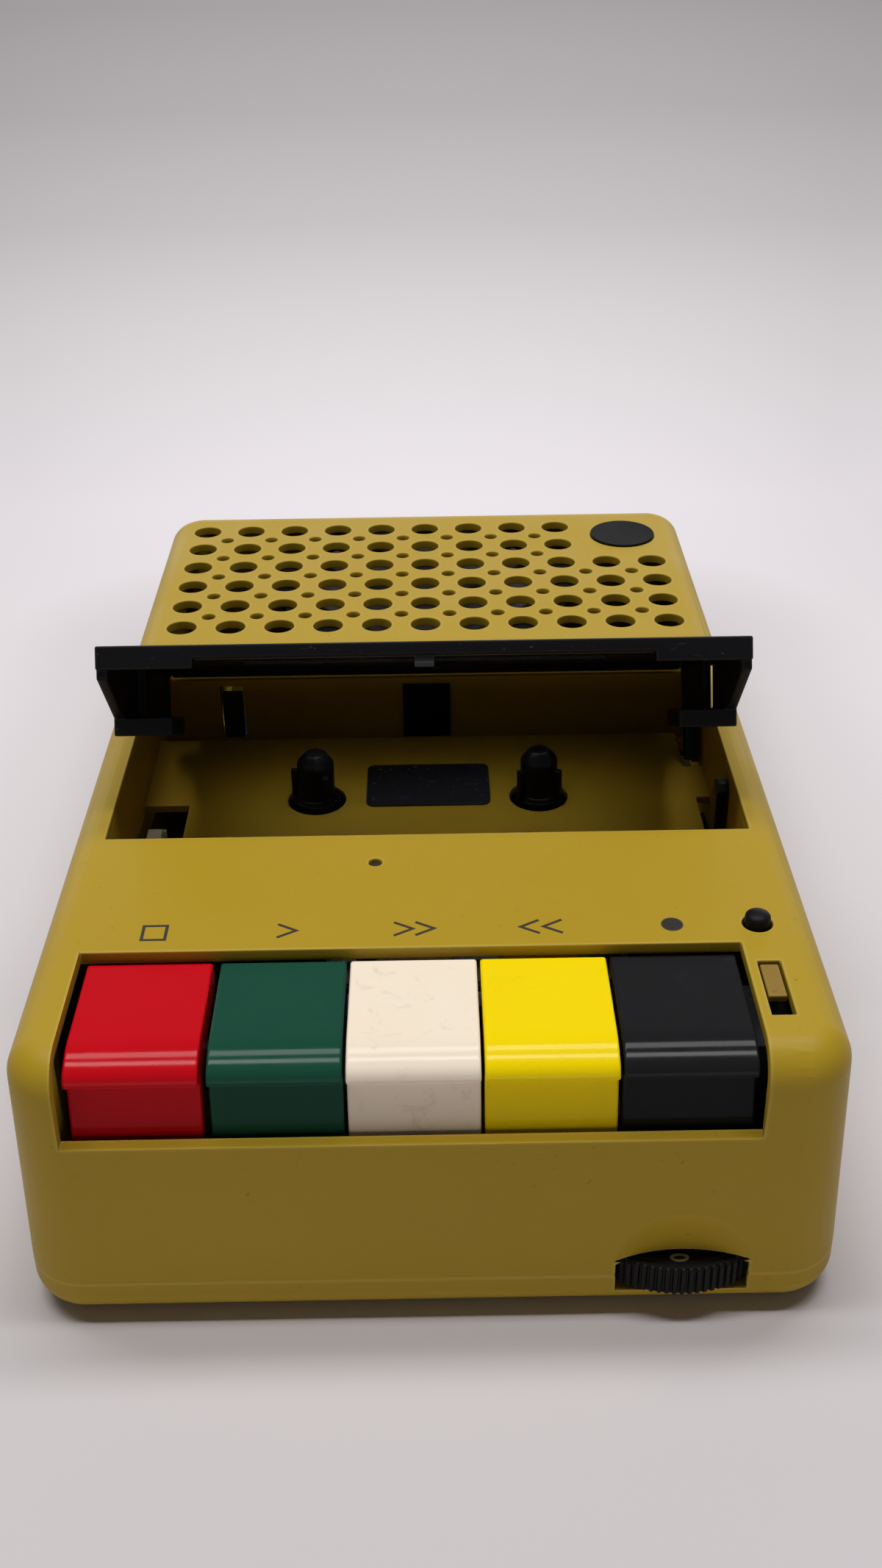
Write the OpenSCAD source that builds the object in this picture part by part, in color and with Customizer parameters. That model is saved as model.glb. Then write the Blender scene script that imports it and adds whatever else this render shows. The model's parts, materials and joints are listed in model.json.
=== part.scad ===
// Portable cassette tape recorder: drafted two-part case, cassette lid on a rear hinge,
// five piano keys, volume thumbwheel, tape drive, loudspeaker and battery bay.
// Front is -Y, up is +Z, and the feet stand on z = 0. Millimetres.

/* [Case] */
// Width at the parting line
case_w = 123.6; // [116:0.2:134]
// Length from front face to rear face at the parting line
case_l = 205; // [203:0.5:215]
// Height of the deck above the table
case_h = 49.2; // [47:0.2:56]
// Wall thickness of both case halves
wall = 2; // [1.6:0.1:2.4]
// Plan radius of the case corners
corner_r = 9; // [6:0.5:12]
// Rounding of the deck's edges
deck_edge_r = 5.5; // [4:0.5:7]
// Rounding of the deck edge above the keys
front_edge_r = 6.2; // [4:0.1:7]
// Rounding of the bottom edges
bottom_edge_r = 5; // [3:0.5:6]
// Lean of the moulded sides
draft = 2; // [1:0.5:3]
// Height of the parting line
part_z = 8.25; // [7.6:0.05:8.6]
// Height of the rubber feet
foot_h = 1; // [0.8:0.1:2]
// Diameter of the rubber feet
foot_d = 9; // [7:0.5:11]

/* [Grille] */
// Spacing of the large grille holes
grille_pitch = 10.25; // [9.6:0.05:10.4]
// Diameter of the large grille holes
grille_hole_d = 6.2; // [5:0.1:6.8]
// Diameter of the small holes between them
grille_small_d = 2.9; // [2:0.1:3.4]
// Distance from the rear row of holes to the rear face
grille_rear_gap = 13.1; // [12.5:0.1:15]
// Diameter of the bare badge disc
badge_d = 14.8; // [12:0.2:15.6]

/* [Cassette bay] */
// Width of the opening in the deck
bay_w = 108.4; // [107.6:0.1:109.4]
// Length of the opening in the deck
bay_l = 68.6; // [68:0.1:70]
// Distance from the front face to the opening
bay_from_front = 59.9; // [59:0.1:61]
// Depth of the floor below the deck
bay_depth = 15.65; // [15.5:0.05:17]
// Thickness of the bay's walls and floor
bay_wall = 1.6; // [1.2:0.1:2]
// Spacing of the two drive spindles
spindle_gap = 42.5; // [42:0.1:43]
// Distance from the opening's front edge to the spindle line
spindle_from_bay = 36.7; // [36:0.1:37.4]
// Diameter of a spindle post
spindle_d = 7; // [6.4:0.1:7.4]
// Height of a spindle above the bay floor
spindle_h = 10.4; // [9.6:0.1:11]

/* [Lid] */
// Angle at which the lid stands open
lid_open = 28.7; // [20:0.1:32]
// Thickness of the lid plate
lid_t = 2.4; // [2:0.1:2.8]
// Depth of the rim round the lid
lid_rim = 3.9; // [3.4:0.1:4.2]
// Height of the space that holds a cassette
pocket_h = 9.4; // [9:0.1:9.6]
// Thickness of the holder feet
foot_t = 3.2; // [2.6:0.1:3.3]
// Diameter of the hinge pins
lid_pin_d = 2; // [1.6:0.1:2.4]

/* [Keys] */
// Spacing of the five keys
key_pitch = 19.68; // [19.2:0.02:19.8]
// Gap between two keys
key_gap = 0.5; // [0.4:0.1:1]
// Sideways place of the middle key
key_x = -2.3; // [-2.6:0.1:-2]
// Depth of a key's top below the deck
key_drop = 1.5; // [1:0.1:2]
// Diameter of the key axle
axle_d = 3; // [2.6:0.1:3.4]

/* [Volume wheel] */
// Diameter of the wheel
wheel_d = 35.6; // [34:0.2:36.4]
// Thickness of the wheel
wheel_t = 5.3; // [4.6:0.1:5.6]
// How far the wheel stands out of the front face
wheel_proud = 1.7; // [1.2:0.1:2.2]
// Sideways place of the wheel
wheel_x = 37.3; // [36:0.1:38]
// Number of ribs on its rim
wheel_ribs = 94; // [60:2:110]

/* [Fits] */
// Gap between pieces that move past each other
gap = 0.35; // [0.3:0.05:0.45]
// Radial clearance of a shaft in its bore
fit = 0.05; // [0.02:0.01:0.09]

/* [Hidden] */
$fn = 48;

// Places on the case
front_y = (wheel_proud - case_l) / 2;
rear_y = front_y + case_l;
half_w = case_w / 2;
deck_z = case_h;
under_deck = deck_z - wall;
floor_in = foot_h + wall;
boss_r = 2.8;
screw_r = 1.2;
screw_head_r = 2.2;
screw_head_h = 1.3;
case_bosses = [[-half_w + 5.6, front_y + 6.6], [half_w - 5.6, front_y + 6.6],
  [-half_w + 7.5, rear_y - 6.9], [half_w - 7.5, rear_y - 6.9]];
feet = [for (sx = [-1, 1], y = [front_y + 16, rear_y - 16]) [sx * (half_w - 8.8), y]];

// Places on the grille
grille_y = rear_y - grille_rear_gap;
cols = 5;
rows = 6;
cut_cols = 4;
badge_x = (cols - 0.5) * grille_pitch;
badge_y = grille_y - 0.5 * grille_pitch;
badge_t = 0.8;

// Places in the cassette bay
bay_front = front_y + bay_from_front;
bay_rear = bay_front + bay_l;
bay_half = bay_w / 2;
floor_z = deck_z - bay_depth;
spindle_y = bay_front + spindle_from_bay;
trough_y = bay_rear - 8.3;
trough_z = floor_z - 4.6;
back_y = bay_rear - 1.8;
spindle_hole_r = 5.55;
stay_slot = [bay_half - 3.6, spindle_y + 10.2, 3.6, 12.8];
lift_slot = [bay_half - 2.8, spindle_y - 19.6, 2.8, 18.4];
left_slot = [-bay_half, spindle_y - 13, 8.6, 11.6];
head_window = [-27, 27];
pad_w = 9.7;
pad_h = 12;
pad_z = trough_z + 1.5;
safety_x = -40;
safety_w = 4.8;
lever_half = safety_w / 2 - gap;

// Places on the lid, given for the lid shut
hinge_r = 2;
spring_w = 2.4;
hinge_y = bay_rear - gap - hinge_r;
hinge_z = deck_z - hinge_r;
lid_half = bay_half - gap;
lid_front = bay_front + gap;
arm_t = 1.8;
ledge_top = deck_z - lid_t - pocket_h;
ledge_bottom = ledge_top - foot_t;
foot_front = hinge_y - 50.8;
foot_rear = foot_front + 14.5;
foot_in = 10;
window_half = 36;
window_y = [lid_front + 15, lid_front + 42];
window_t = 1.5;

// Places of the keys
key_w = key_pitch - key_gap;
stop_key_shift = -0.6;
recess_x = [key_x - 50.8, key_x + 49.9];
recess_rear = front_y + 28.3;
sill_z = deck_z - 14.5;
key_top = deck_z - key_drop;
key_back = recess_rear - 1;
key_front = front_y + 3.3;
axle_y = recess_rear + 15;
axle_z = deck_z - 9;
axle_x = [key_x - 52.5, key_x + 52.5];
key_hub_r = 3.4;
bracket_t = 1.5;

// Places of the drive
chassis_z = floor_z - 11.55;
chassis_t = 1.2;
chassis_x = bay_half + 1;
chassis_y = [front_y + 24, bay_rear];
chassis_top = chassis_z + chassis_t;
post_r = 3;
capstan_x = 16;
capstan_y = spindle_y - 28.6;
capstan_r = 1;
fly_r = 21;
fly_z = 6.4;
fly_t = 5;
motor_x = -34;
motor_y = bay_front - 19;
motor_r = 14.5;
motor_z = [12.4, axle_z - 9.2];
pulley_r = 4;
belt_t = 1.2;
belt_z = fly_z + 1.6;
belt_h = 1.8;
pin_r = 1.5;
base_r = 11;
fin_reach = 4.65;
mirror_t = 0.4;
dome_h = 3;
dome_r = [2.95, 1.7];
base_z = chassis_top + 0.4;
base_t = 2.8;

// Places of the heads
slide_z = floor_z + 0.6;
slide_t = 1.2;
slide_x = 25;
slide_y = [axle_y + 4, bay_front + 2];
tape_z = ledge_top + 4.35;
roller_r = 5.4;
roller_y = capstan_y - capstan_r - roller_r - 4.4;

// Places of the wheel, board and side controls
wheel_r = wheel_d / 2;
wheel_y = front_y - wheel_proud + wheel_r;
wheel_z = part_z - wheel_t / 2 - 0.1;
wheel_slot = [wheel_x - 10, wheel_x + 10];
scoop_r = 24.9;
scoop_depth = 2.35;
board_z = wheel_z + wheel_t + 3.8;
board_t = 1.6;
board_x = [-12, half_w - 10];
board_y = [front_y + 4.6, front_y + 45];
board_posts = [[board_x[0] + 4, board_y[0] + 4], [board_x[0] + 4, board_y[1] - 8],
  [board_x[1] - 4, board_y[1] - 4]];
posts = [[-chassis_x + 5, chassis_y[0] + 3.6], [chassis_x - 5, board_y[1] + 7],
  [-chassis_x + 5, chassis_y[1] - 5], [chassis_x - 5, chassis_y[1] - 5]];
pot_r = 8;
pot_shaft_r = 3;
button_x = 50.9;
button_y = front_y + 33.1;
button_r = 2;
button_travel = 1.6;
slider_x = [49.2, 52.7];
slider_y = [front_y + 11, front_y + 23.6];
knob_l = 7.6;
knob_drop = 0.4;
knob_t = 1.2;
stem_l = 3;
jack_z = (part_z + chassis_z) / 2;
jack_y = [-40, -28, -16];
jack_r = 4;

// Places of the loudspeaker and batteries
speaker_y = grille_y - 2.5 * grille_pitch;
speaker_r = 33;
speaker_depth = 20;
magnet_r = 12.5;
door_half = 46;
cell_r = 7.1;
cell_l = 50;
bay_cell = 14.6;
cell_count = floor((2 * door_half - 4) / bay_cell);
cells_y = bay_rear + 18;
cells_z = floor_in + 0.3 + cell_r;
door_t = 1.6;
door_front = cells_y - 3.2;

// Points along an arc of radius r about c, from angle a to angle b
function arc(c, r, a, b, n = 8) = [for (i = [0:n]) c + r * [cos(a + (b - a) * i / n), sin(a + (b - a) * i / n)]];

// Outline of a drafted wall pair with a rounded crown, from low to high
function crown(left, right, low, high, rl, rr) = concat(
  [[left, low]],
  arc([left + (high - rl - low) * tan(draft) + rl / cos(draft), high - rl], rl, 180 - draft, 90),
  arc([right - (high - rr - low) * tan(draft) - rr / cos(draft), high - rr], rr, 90, draft),
  [[right, low]]);

// Rounded rectangle between two corners
module plan(a, b, r) {
  translate([a[0] + r, a[1]]) square([b[0] - a[0] - 2 * r, b[1] - a[1]]);
  translate([a[0], a[1] + r]) square([b[0] - a[0], b[1] - a[1] - 2 * r]);
  for (x = [a[0] + r, b[0] - r], y = [a[1] + r, b[1] - r]) translate([x, y]) circle(r);
}

// Extrude an outline drawn in Y and Z along X
module along_x(x0, x1) {
  translate([x0, 0, 0]) rotate([90, 0, 90]) linear_extrude(x1 - x0) children();
}

// Extrude an outline drawn in X and Z along Y
module along_y(y0, y1) {
  translate([0, y1, 0]) rotate([90, 0, 0]) linear_extrude(y1 - y0) children();
}

// Box between two corners
module slab(a, b) {
  translate(a) cube(b - a);
}

// Solid of the upper case, inset by t on every side
module upper_block(t) {
  low = t > 0 ? part_z - 1 : part_z;
  intersection() {
    translate([0, 0, low]) linear_extrude(deck_z)
      plan([-half_w + t, front_y + t], [half_w - t, rear_y - t], corner_r - t);
    along_x(-case_w, case_w)
      polygon(crown(front_y + t, rear_y - t, low, deck_z - t, front_edge_r - t, deck_edge_r - t));
    along_y(-case_l, case_l)
      polygon(crown(-half_w + t, half_w - t, low, deck_z - t, deck_edge_r - t, deck_edge_r - t));
  }
}

// Solid of the bottom case, inset by t on every side
module bottom_block(t) {
  high = t > 0 ? part_z + 1 : part_z;
  r = bottom_edge_r - t;
  low = foot_h + t;
  intersection() {
    translate([0, 0, low]) linear_extrude(high - low)
      plan([-half_w + t, front_y + t], [half_w - t, rear_y - t], corner_r - t);
    along_x(-case_w, case_w) polygon(concat([[front_y + t, high]],
      arc([front_y + t + r, low + r], r, 180, 270), arc([rear_y - t - r, low + r], r, 270, 360),
      [[rear_y - t, high]]));
    along_y(-case_l, case_l) polygon(concat([[-half_w + t, high]],
      arc([-half_w + t + r, low + r], r, 180, 270), arc([half_w - t - r, low + r], r, 270, 360),
      [[half_w - t, high]]));
  }
}

// Front slot for the wheel, shared by both case halves
module wheel_cut() {
  slab([wheel_slot[0], front_y - 5, wheel_z - gap], [wheel_slot[1], front_y + 8, wheel_z + wheel_t + gap]);
  translate([wheel_x, wheel_y, wheel_z - gap]) cylinder(r = wheel_r + gap, h = wheel_t + 2 * gap);
}

// Thumb scoop above the wheel, a ball-shaped bite out of the front face
module thumb_scoop(extra) {
  base = wheel_z + wheel_t;
  intersection() {
    translate([wheel_x, front_y + scoop_depth - scoop_r, base]) sphere(r = scoop_r + extra);
    slab([wheel_x - scoop_r, front_y - scoop_r, base - extra], [wheel_x + scoop_r, front_y + scoop_r, sill_z - 1]);
  }
}

// Every hole of the loudspeaker grille
module grille_holes() {
  for (j = [0:rows - 1], i = [-cols:cols])
    if (!(j < 2 && i >= cut_cols))
      translate([i * grille_pitch, grille_y - j * grille_pitch, under_deck - 1])
        cylinder(d = grille_hole_d, h = wall + 2, $fn = 32);
  for (j = [0:rows - 2], i = [-cols:cols - 1])
    if (!(j < 2 && i >= cut_cols - 1))
      translate([(i + 0.5) * grille_pitch, grille_y - (j + 0.5) * grille_pitch, under_deck - 1])
        cylinder(d = grille_small_d, h = wall + 2, $fn = 24);
}

module upper_case() {
  color("darkgoldenrod") difference() {
    union() {
      difference() {
        upper_block(0);
        upper_block(wall);
      }
      intersection() {
        upper_block(0.5);
        union() {
          for (p = case_bosses) translate([p[0], p[1], part_z]) cylinder(r = boss_r, h = deck_z);
          intersection() {
            thumb_scoop(wall);
            slab([wheel_x - 13, front_y, part_z], [wheel_x + 13, front_y + 8, sill_z - 1]);
          }
        }
      }
    }
    for (p = case_bosses) translate([p[0], p[1], part_z - 1]) cylinder(r = screw_r, h = 15);
    slab([-bay_half, bay_front, under_deck - 1], [bay_half, bay_rear, deck_z + 1]);
    slab([recess_x[0], front_y - 10, sill_z], [recess_x[1], recess_rear, deck_z + 1]);
    grille_holes();
    translate([badge_x, badge_y, deck_z - badge_t / 2]) cylinder(d = badge_d + gap, h = 2);
    translate([-8.6, front_y + 51.6, under_deck - 1]) cylinder(r = 1.1, h = wall + 2);
    translate([button_x, button_y, under_deck - 1]) cylinder(r = button_r + gap, h = wall + 2);
    slab([slider_x[0], slider_y[0], under_deck - 1], [slider_x[1], slider_y[1], deck_z + 1]);
    wheel_cut();
    thumb_scoop(0);
    lid_pin_bores();
    for (y = jack_y) translate([-half_w - 1, y, jack_z]) rotate([0, 90, 0]) cylinder(r = jack_r + fit, h = 6);
  }
}

// Bores that hold the lid's hinge pins in the bay's side walls
module lid_pin_bores() {
  for (sx = [-1, 1]) translate([sx * (bay_half + 3), hinge_y, hinge_z]) rotate([0, 90, 0])
    cylinder(r = lid_pin_d / 2, h = 8, center = true);
}

// Space inside the cassette bay, above the floor and in the trough behind it
module bay_space() {
  slab([-bay_half, bay_front, floor_z], [bay_half, back_y, deck_z]);
  slab([-bay_half, trough_y, trough_z], [bay_half, back_y, deck_z]);
  slab([-bay_half, back_y - 1, hinge_z - hinge_r - 1.4], [bay_half, bay_rear, deck_z]);
}

module cassette_bay() {
  color("goldenrod") difference() {
    union() {
      slab([-bay_half - bay_wall, bay_front - bay_wall, floor_z - bay_wall],
           [bay_half + bay_wall, bay_rear + bay_wall, under_deck]);
      slab([-bay_half - bay_wall, trough_y - bay_wall, trough_z - bay_wall],
           [bay_half + bay_wall, bay_rear + bay_wall, under_deck]);
    }
    bay_space();
    slab([-bay_half - 3, back_y + bay_wall, trough_z - 3], [bay_half + 3, bay_rear + 3, hinge_z - hinge_r - 3]);
    for (sx = [-1, 1]) translate([sx * spindle_gap / 2, spindle_y, floor_z - 3]) cylinder(r = spindle_hole_r, h = 6);
    for (s = [stay_slot, lift_slot, left_slot])
      slab([s[0], s[1], trough_z - 3], [s[0] + s[2], s[1] + s[3], floor_z + 0.5]);
    slab([stay_slot[0], stay_slot[1], trough_z - 3], [bay_half, trough_y + 1, floor_z + 0.5]);
    slab([head_window[0], bay_front - 3, floor_z - 3], [head_window[1], bay_front + 7.5, under_deck - 2.4]);
    translate([capstan_x, capstan_y, floor_z - 3]) cylinder(r = capstan_r + 1.2, h = 6);
    slab([safety_x - safety_w / 2, back_y - 1, trough_z + 1.4], [safety_x + safety_w / 2, bay_rear + 3, trough_z + 13.4]);
    lid_pin_bores();
  }
}

module bottom_case() {
  color("goldenrod") difference() {
    union() {
      difference() {
        bottom_block(0);
        bottom_block(wall);
      }
      intersection() {
        bottom_block(0.5);
        union() {
          for (p = case_bosses) translate([p[0], p[1], foot_h]) cylinder(r = boss_r, h = part_z - foot_h);
        }
      }
      for (p = posts) translate([p[0], p[1], foot_h + 1]) cylinder(r = post_r, h = chassis_z - foot_h - 1);
      for (p = board_posts) translate([p[0], p[1], foot_h + 1]) cylinder(r = post_r, h = board_z - foot_h - 1);
      translate([capstan_x, capstan_y, foot_h + 1]) cylinder(r = 4, h = fly_z - 1.3 - foot_h - 1);
      for (y = [cells_y - 3.6, cells_y + cell_l + 2.4])
        slab([-door_half - 1.2, y, floor_in - 1], [door_half + 1.2, y + 1.2, floor_in + 2 * cell_r + 1]);
      for (sx = [-1, 1]) translate([sx * (door_half + 0.6), cells_y - 3.6, floor_in - 1])
        translate([-0.6, 0, 0]) cube([1.2, cell_l + 7.2, 2 * cell_r + 2]);
    }
    slab([-door_half - gap, door_front - gap, 0], [door_half + gap, rear_y + 1, foot_h + door_t + gap]);
    slab([-door_half + 1.5, cells_y - 2.4, 0], [door_half - 1.5, cells_y + cell_l + 2.4, floor_in + 0.1]);
    wheel_cut();
    for (p = case_bosses) translate([p[0], p[1], 0]) {
      cylinder(r = screw_r + 0.2, h = part_z + 2);
      cylinder(r = 2.4, h = foot_h + 1.6);
    }
    for (p = posts) translate([p[0], p[1], chassis_z - 9]) cylinder(r = screw_r, h = 10);
  }
}

module badge() {
  color([0.06, 0.06, 0.06]) translate([badge_x, badge_y, deck_z - badge_t / 2]) cylinder(d = badge_d, h = badge_t);
}

module rubber_feet() {
  color([0.1, 0.1, 0.1]) for (p = feet) translate([p[0], p[1], 0]) {
    cylinder(d1 = foot_d - 0.8, d2 = foot_d, h = foot_h);
  }
}

module case_screws() {
  color("silver") for (p = case_bosses) translate([p[0], p[1], 0]) {
    translate([0, 0, foot_h + 0.2]) difference() {
      cylinder(r = 2.2, h = 1.4);
      translate([-3, -0.25, -1]) cube([6, 0.5, 1.6]);
    }
    translate([0, 0, foot_h + 1.6]) cylinder(r = screw_r, h = 11);
  }
}

module battery_door() {
  color("goldenrod") intersection() {
    bottom_block(0);
    difference() {
      slab([-door_half, door_front, 0], [door_half, rear_y, foot_h + door_t]);
      for (i = [0:4]) slab([-9, rear_y - 22 + i * 2.4, foot_h - 1], [9, rear_y - 20.8 + i * 2.4, foot_h + 0.5]);
    }
  }
}

// Sideways place of battery cell i
function cell_x(i) = (i - (cell_count - 1) / 2) * bay_cell;

module battery_cells() {
  color("steelblue") for (i = [0:cell_count - 1])
    translate([cell_x(i), cells_y, cells_z]) rotate([-90, 0, 0]) {
      cylinder(r = cell_r, h = cell_l - 1.2);
      translate([0, 0, i % 2 == 0 ? cell_l - 1.2 : -1.1]) cylinder(r = 2.6, h = 1.1);
    }
}

module battery_contacts() {
  color("silver") for (i = [0:cell_count - 1], y = [cells_y - 2.4, cells_y + cell_l + 2.1])
    slab([cell_x(i) - 5, y, cells_z - 5], [cell_x(i) + 5, y + 0.3, cells_z + 5]);
  color("silver") for (i = [0:cell_count - 1])
    translate([cell_x(i), i % 2 == 0 ? cells_y - 2.1 : cells_y + cell_l - 0.9, cells_z]) rotate([-90, 0, 0])
      difference() {
        cylinder(r1 = 4, r2 = 3, h = i % 2 == 0 ? 1.8 : 3);
        translate([0, 0, -1]) cylinder(r = 2.2, h = 6);
      }
}

module speaker_frame() {
  color("dimgray") translate([0, speaker_y, under_deck]) rotate_extrude() polygon([
    [speaker_r - 4.5, 0], [speaker_r, 0], [speaker_r, -1.2], [speaker_r - 2.5, -1.2], [magnet_r + 3, -speaker_depth + 5],
    [magnet_r, -speaker_depth + 5], [magnet_r, -speaker_depth + 6], [magnet_r + 2, -speaker_depth + 6],
    [speaker_r - 4.5, -1.2]]);
}

module speaker_cone() {
  color([0.13, 0.12, 0.11]) translate([0, speaker_y, under_deck]) rotate_extrude() polygon([
    [speaker_r - 4.9, -0.4], [speaker_r - 5.4, -0.1], [9.5, -speaker_depth + 9.5], [0, -speaker_depth + 12.4],
    [0, -speaker_depth + 11.8], [9.5, -speaker_depth + 8.9], [10, -speaker_depth + 6.4], [10.6, -speaker_depth + 6.4]]);
}

module speaker_magnet() {
  color("gray") translate([0, speaker_y, under_deck - speaker_depth]) difference() {
    cylinder(r = magnet_r, h = 6);
    translate([0, 0, 3]) cylinder(r = magnet_r - 1.5, h = 5);
  }
}

module chassis_plate() {
  color("lightsteelblue") difference() {
    slab([-chassis_x, chassis_y[0], chassis_z], [chassis_x, chassis_y[1], chassis_top]);
    for (p = posts) translate([p[0], p[1], 0]) cylinder(r = screw_r + 0.1, h = case_h);
    translate([motor_x, motor_y, 0]) cylinder(r = motor_r + 0.4, h = case_h);
    translate([capstan_x, capstan_y, 0]) cylinder(r = 3, h = case_h);
    for (sx = [-1, 1]) translate([sx * spindle_gap / 2, spindle_y, 0]) cylinder(r = pin_r, h = case_h);
    for (s = [stay_slot, lift_slot])
      slab([s[0] - 1, s[1] - 1, 0], [chassis_x + 1, s[1] + s[3] + 1, case_h]);
    slab([0, chassis_y[0] - 1, 0], [chassis_x + 1, board_y[1] + 1, case_h]);
  }
}

module chassis_screws() {
  color("silver") for (p = posts) translate([p[0], p[1], 0]) {
    translate([0, 0, chassis_top]) cylinder(r = screw_head_r, h = screw_head_h);
    translate([0, 0, chassis_top - 8]) cylinder(r = screw_r, h = 8);
  }
}

module spindle_pins() {
  color("silver") for (sx = [-1, 1]) translate([sx * spindle_gap / 2, spindle_y, chassis_z])
    cylinder(r = pin_r, h = 9);
}

// Drive spindle with its base disc, three fins and a domed tip
module spindle() {
  r = spindle_d / 2;
  top = floor_z + spindle_h;
  difference() {
    union() {
      translate([0, 0, base_z]) cylinder(r = base_r, h = base_t);
      translate([0, 0, base_z]) cylinder(r = 4.4, h = floor_z + 0.6 - base_z);
      translate([0, 0, floor_z]) cylinder(r = r, h = spindle_h - dome_h);
      translate([0, 0, top - dome_h]) cylinder(r1 = r, r2 = dome_r[0], h = dome_h / 2);
      translate([0, 0, top - dome_h / 2]) cylinder(r1 = dome_r[0], r2 = dome_r[1], h = dome_h / 2);
      for (a = [90, 210, 330]) rotate([0, 0, a]) slab([0, -0.6, floor_z + 1], [fin_reach, 0.6, top - dome_h - 0.6]);
    }
    translate([0, 0, base_z - 1]) cylinder(r = pin_r + fit, h = chassis_z + 9.3 - base_z + 1);
  }
}

module supply_spindle() {
  color([0.09, 0.09, 0.09]) translate([-spindle_gap / 2, spindle_y, 0]) rotate([0, 0, -30]) spindle();
}

module takeup_spindle() {
  color([0.09, 0.09, 0.09]) translate([spindle_gap / 2, spindle_y, 0]) spindle();
}

module brake_lever() {
  color("ivory") difference() {
    union() {
      slab([left_slot[0] + 1.6, left_slot[1] + 1.2, chassis_top], [left_slot[0] + 4.4, left_slot[1] + 8, floor_z - 0.6]);
      slab([left_slot[0] + 1.6, left_slot[1] - 5, chassis_top], [left_slot[0] + 7, left_slot[1] + 1.2, chassis_top + 3]);
    }
    translate([left_slot[0], left_slot[1] + 8, floor_z + 1]) rotate([0, 90, 0]) cylinder(r = 4, h = 9);
  }
}

module tape_mirror() {
  color("lightgray") translate([0, 0, floor_z]) linear_extrude(mirror_t)
    plan([-11.8, spindle_y - 3.1], [12, spindle_y + 11.9], 1.6);
}

module cassette_pad() {
  color([0.08, 0.08, 0.08]) slab([-pad_w / 2, back_y - 0.8, pad_z], [pad_w / 2, back_y, pad_z + pad_h]);
}

module safety_lever() {
  color("gray") union() {
    slab([safety_x - lever_half, back_y - 0.3, trough_z + 1.4 + gap], [safety_x + lever_half, back_y + 1.8, trough_z + 11.6]);
    slab([safety_x - 1.1, back_y + 1.8, trough_z + 4], [safety_x + 1.1, bay_rear + 4.2, trough_z + 6.4]);
  }
}

module lid_lift_lever() {
  y0 = lift_slot[1] + 1.1;
  foot = 5.6;
  color([0.08, 0.08, 0.08]) along_x(lift_slot[0] + 0.5, bay_half - 0.4)
    polygon([[y0, floor_z - 6.5], [y0 + foot, floor_z - 6.5], [y0 + foot, floor_z + 4], [y0 + 3.6, floor_z + 12.2],
      [y0 + 2.4, floor_z + 13.1], [y0 + 0.9, floor_z + 12.9], [y0, floor_z + 11.4]]);
}

// Put a piece drawn for the shut lid at the angle where the lid stands open
module lid_pose() {
  translate([0, hinge_y, hinge_z]) rotate([-lid_open, 0, 0]) translate([0, -hinge_y, -hinge_z]) children();
}

// Side arm and foot that carry one edge of a cassette; s is -1 on the left and 1 on the right
module holder_arm(s) {
  along_x(min(s * lid_half, s * (lid_half - arm_t)), max(s * lid_half, s * (lid_half - arm_t)))
    polygon([[lid_front + 0.9, deck_z - lid_rim + 0.5], [lid_front + 0.9, deck_z - lid_rim - 1.6],
      [foot_front, ledge_top - 0.2], [foot_front, ledge_bottom], [foot_rear, ledge_bottom], [foot_rear, deck_z - lid_t + 0.5]]);
  slab([min(s * (lid_half - 0.5), s * (lid_half - foot_in)), foot_front, ledge_bottom],
       [max(s * (lid_half - 0.5), s * (lid_half - foot_in)), foot_rear, ledge_top]);
  slab([min(s * 50.7, s * 52.2), foot_rear + (s > 0 ? 2 : -0.5), ledge_top - 1], [max(s * 50.7, s * 52.2), hinge_y - 8, deck_z - lid_t + 0.5]);
}

module cassette_lid() {
  color([0.1, 0.1, 0.1]) lid_pose() difference() {
    union() {
      difference() {
        slab([-lid_half, lid_front, deck_z - lid_rim], [lid_half, hinge_y, deck_z]);
        slab([-lid_half + arm_t, lid_front + 2.2, deck_z - lid_rim - 1], [lid_half - arm_t, hinge_y + 1, deck_z - lid_t]);
        along_x(-38, 38) polygon([[lid_front - 1, deck_z - lid_rim - 1], [lid_front + 3, deck_z - lid_rim - 1],
          [lid_front + 3, deck_z - lid_t + 0.2], [lid_front - 1, deck_z - lid_t + 0.2]]);
      }
      translate([-lid_half, hinge_y, hinge_z]) rotate([0, 90, 0]) cylinder(r = hinge_r, h = 2 * lid_half);
      for (s = [-1, 1]) holder_arm(s);
      slab([50.9, hinge_y - 11.4, floor_z - 6.4], [53.4, hinge_y - 7.9, deck_z - lid_t + 0.5]);
    }
    slab([-window_half, window_y[0], deck_z - window_t], [window_half, window_y[1], deck_z + 1]);
    slab([-window_half + 2, window_y[0] + 2, deck_z - lid_t - 1], [window_half - 2, window_y[1] - 2, deck_z + 1]);
    for (s = [-1, 1]) {
      translate([s * lid_half, hinge_y, hinge_z]) rotate([0, 90, 0])
        cylinder(r = lid_pin_d / 2 + fit, h = 20, center = true);
      translate([s * (bay_half - spring_w / 2), hinge_y, hinge_z]) rotate([0, 90, 0])
        cylinder(r = hinge_r + 1, h = spring_w + 2 * gap, center = true);
    }
  }
}

module lid_window() {
  color([0.7, 0.75, 0.78]) lid_pose()
    slab([-window_half, window_y[0], deck_z - window_t], [window_half, window_y[1], deck_z]);
}

module lid_catch() {
  color("silver") lid_pose() union() {
    slab([-1.6, lid_front + 0.6, deck_z - lid_rim - 0.3], [1.6, lid_front + 1.4, deck_z - lid_t + 0.2]);
    slab([-1.6, lid_front + 0.2, deck_z - lid_rim - 0.3], [1.6, lid_front + 0.6, deck_z - lid_rim + 0.5]);
  }
}

module lid_latch() {
  color("silver") slab([-5, bay_front - bay_wall - 0.5, under_deck - 2.3], [5, bay_front - bay_wall, under_deck]);
}

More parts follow.
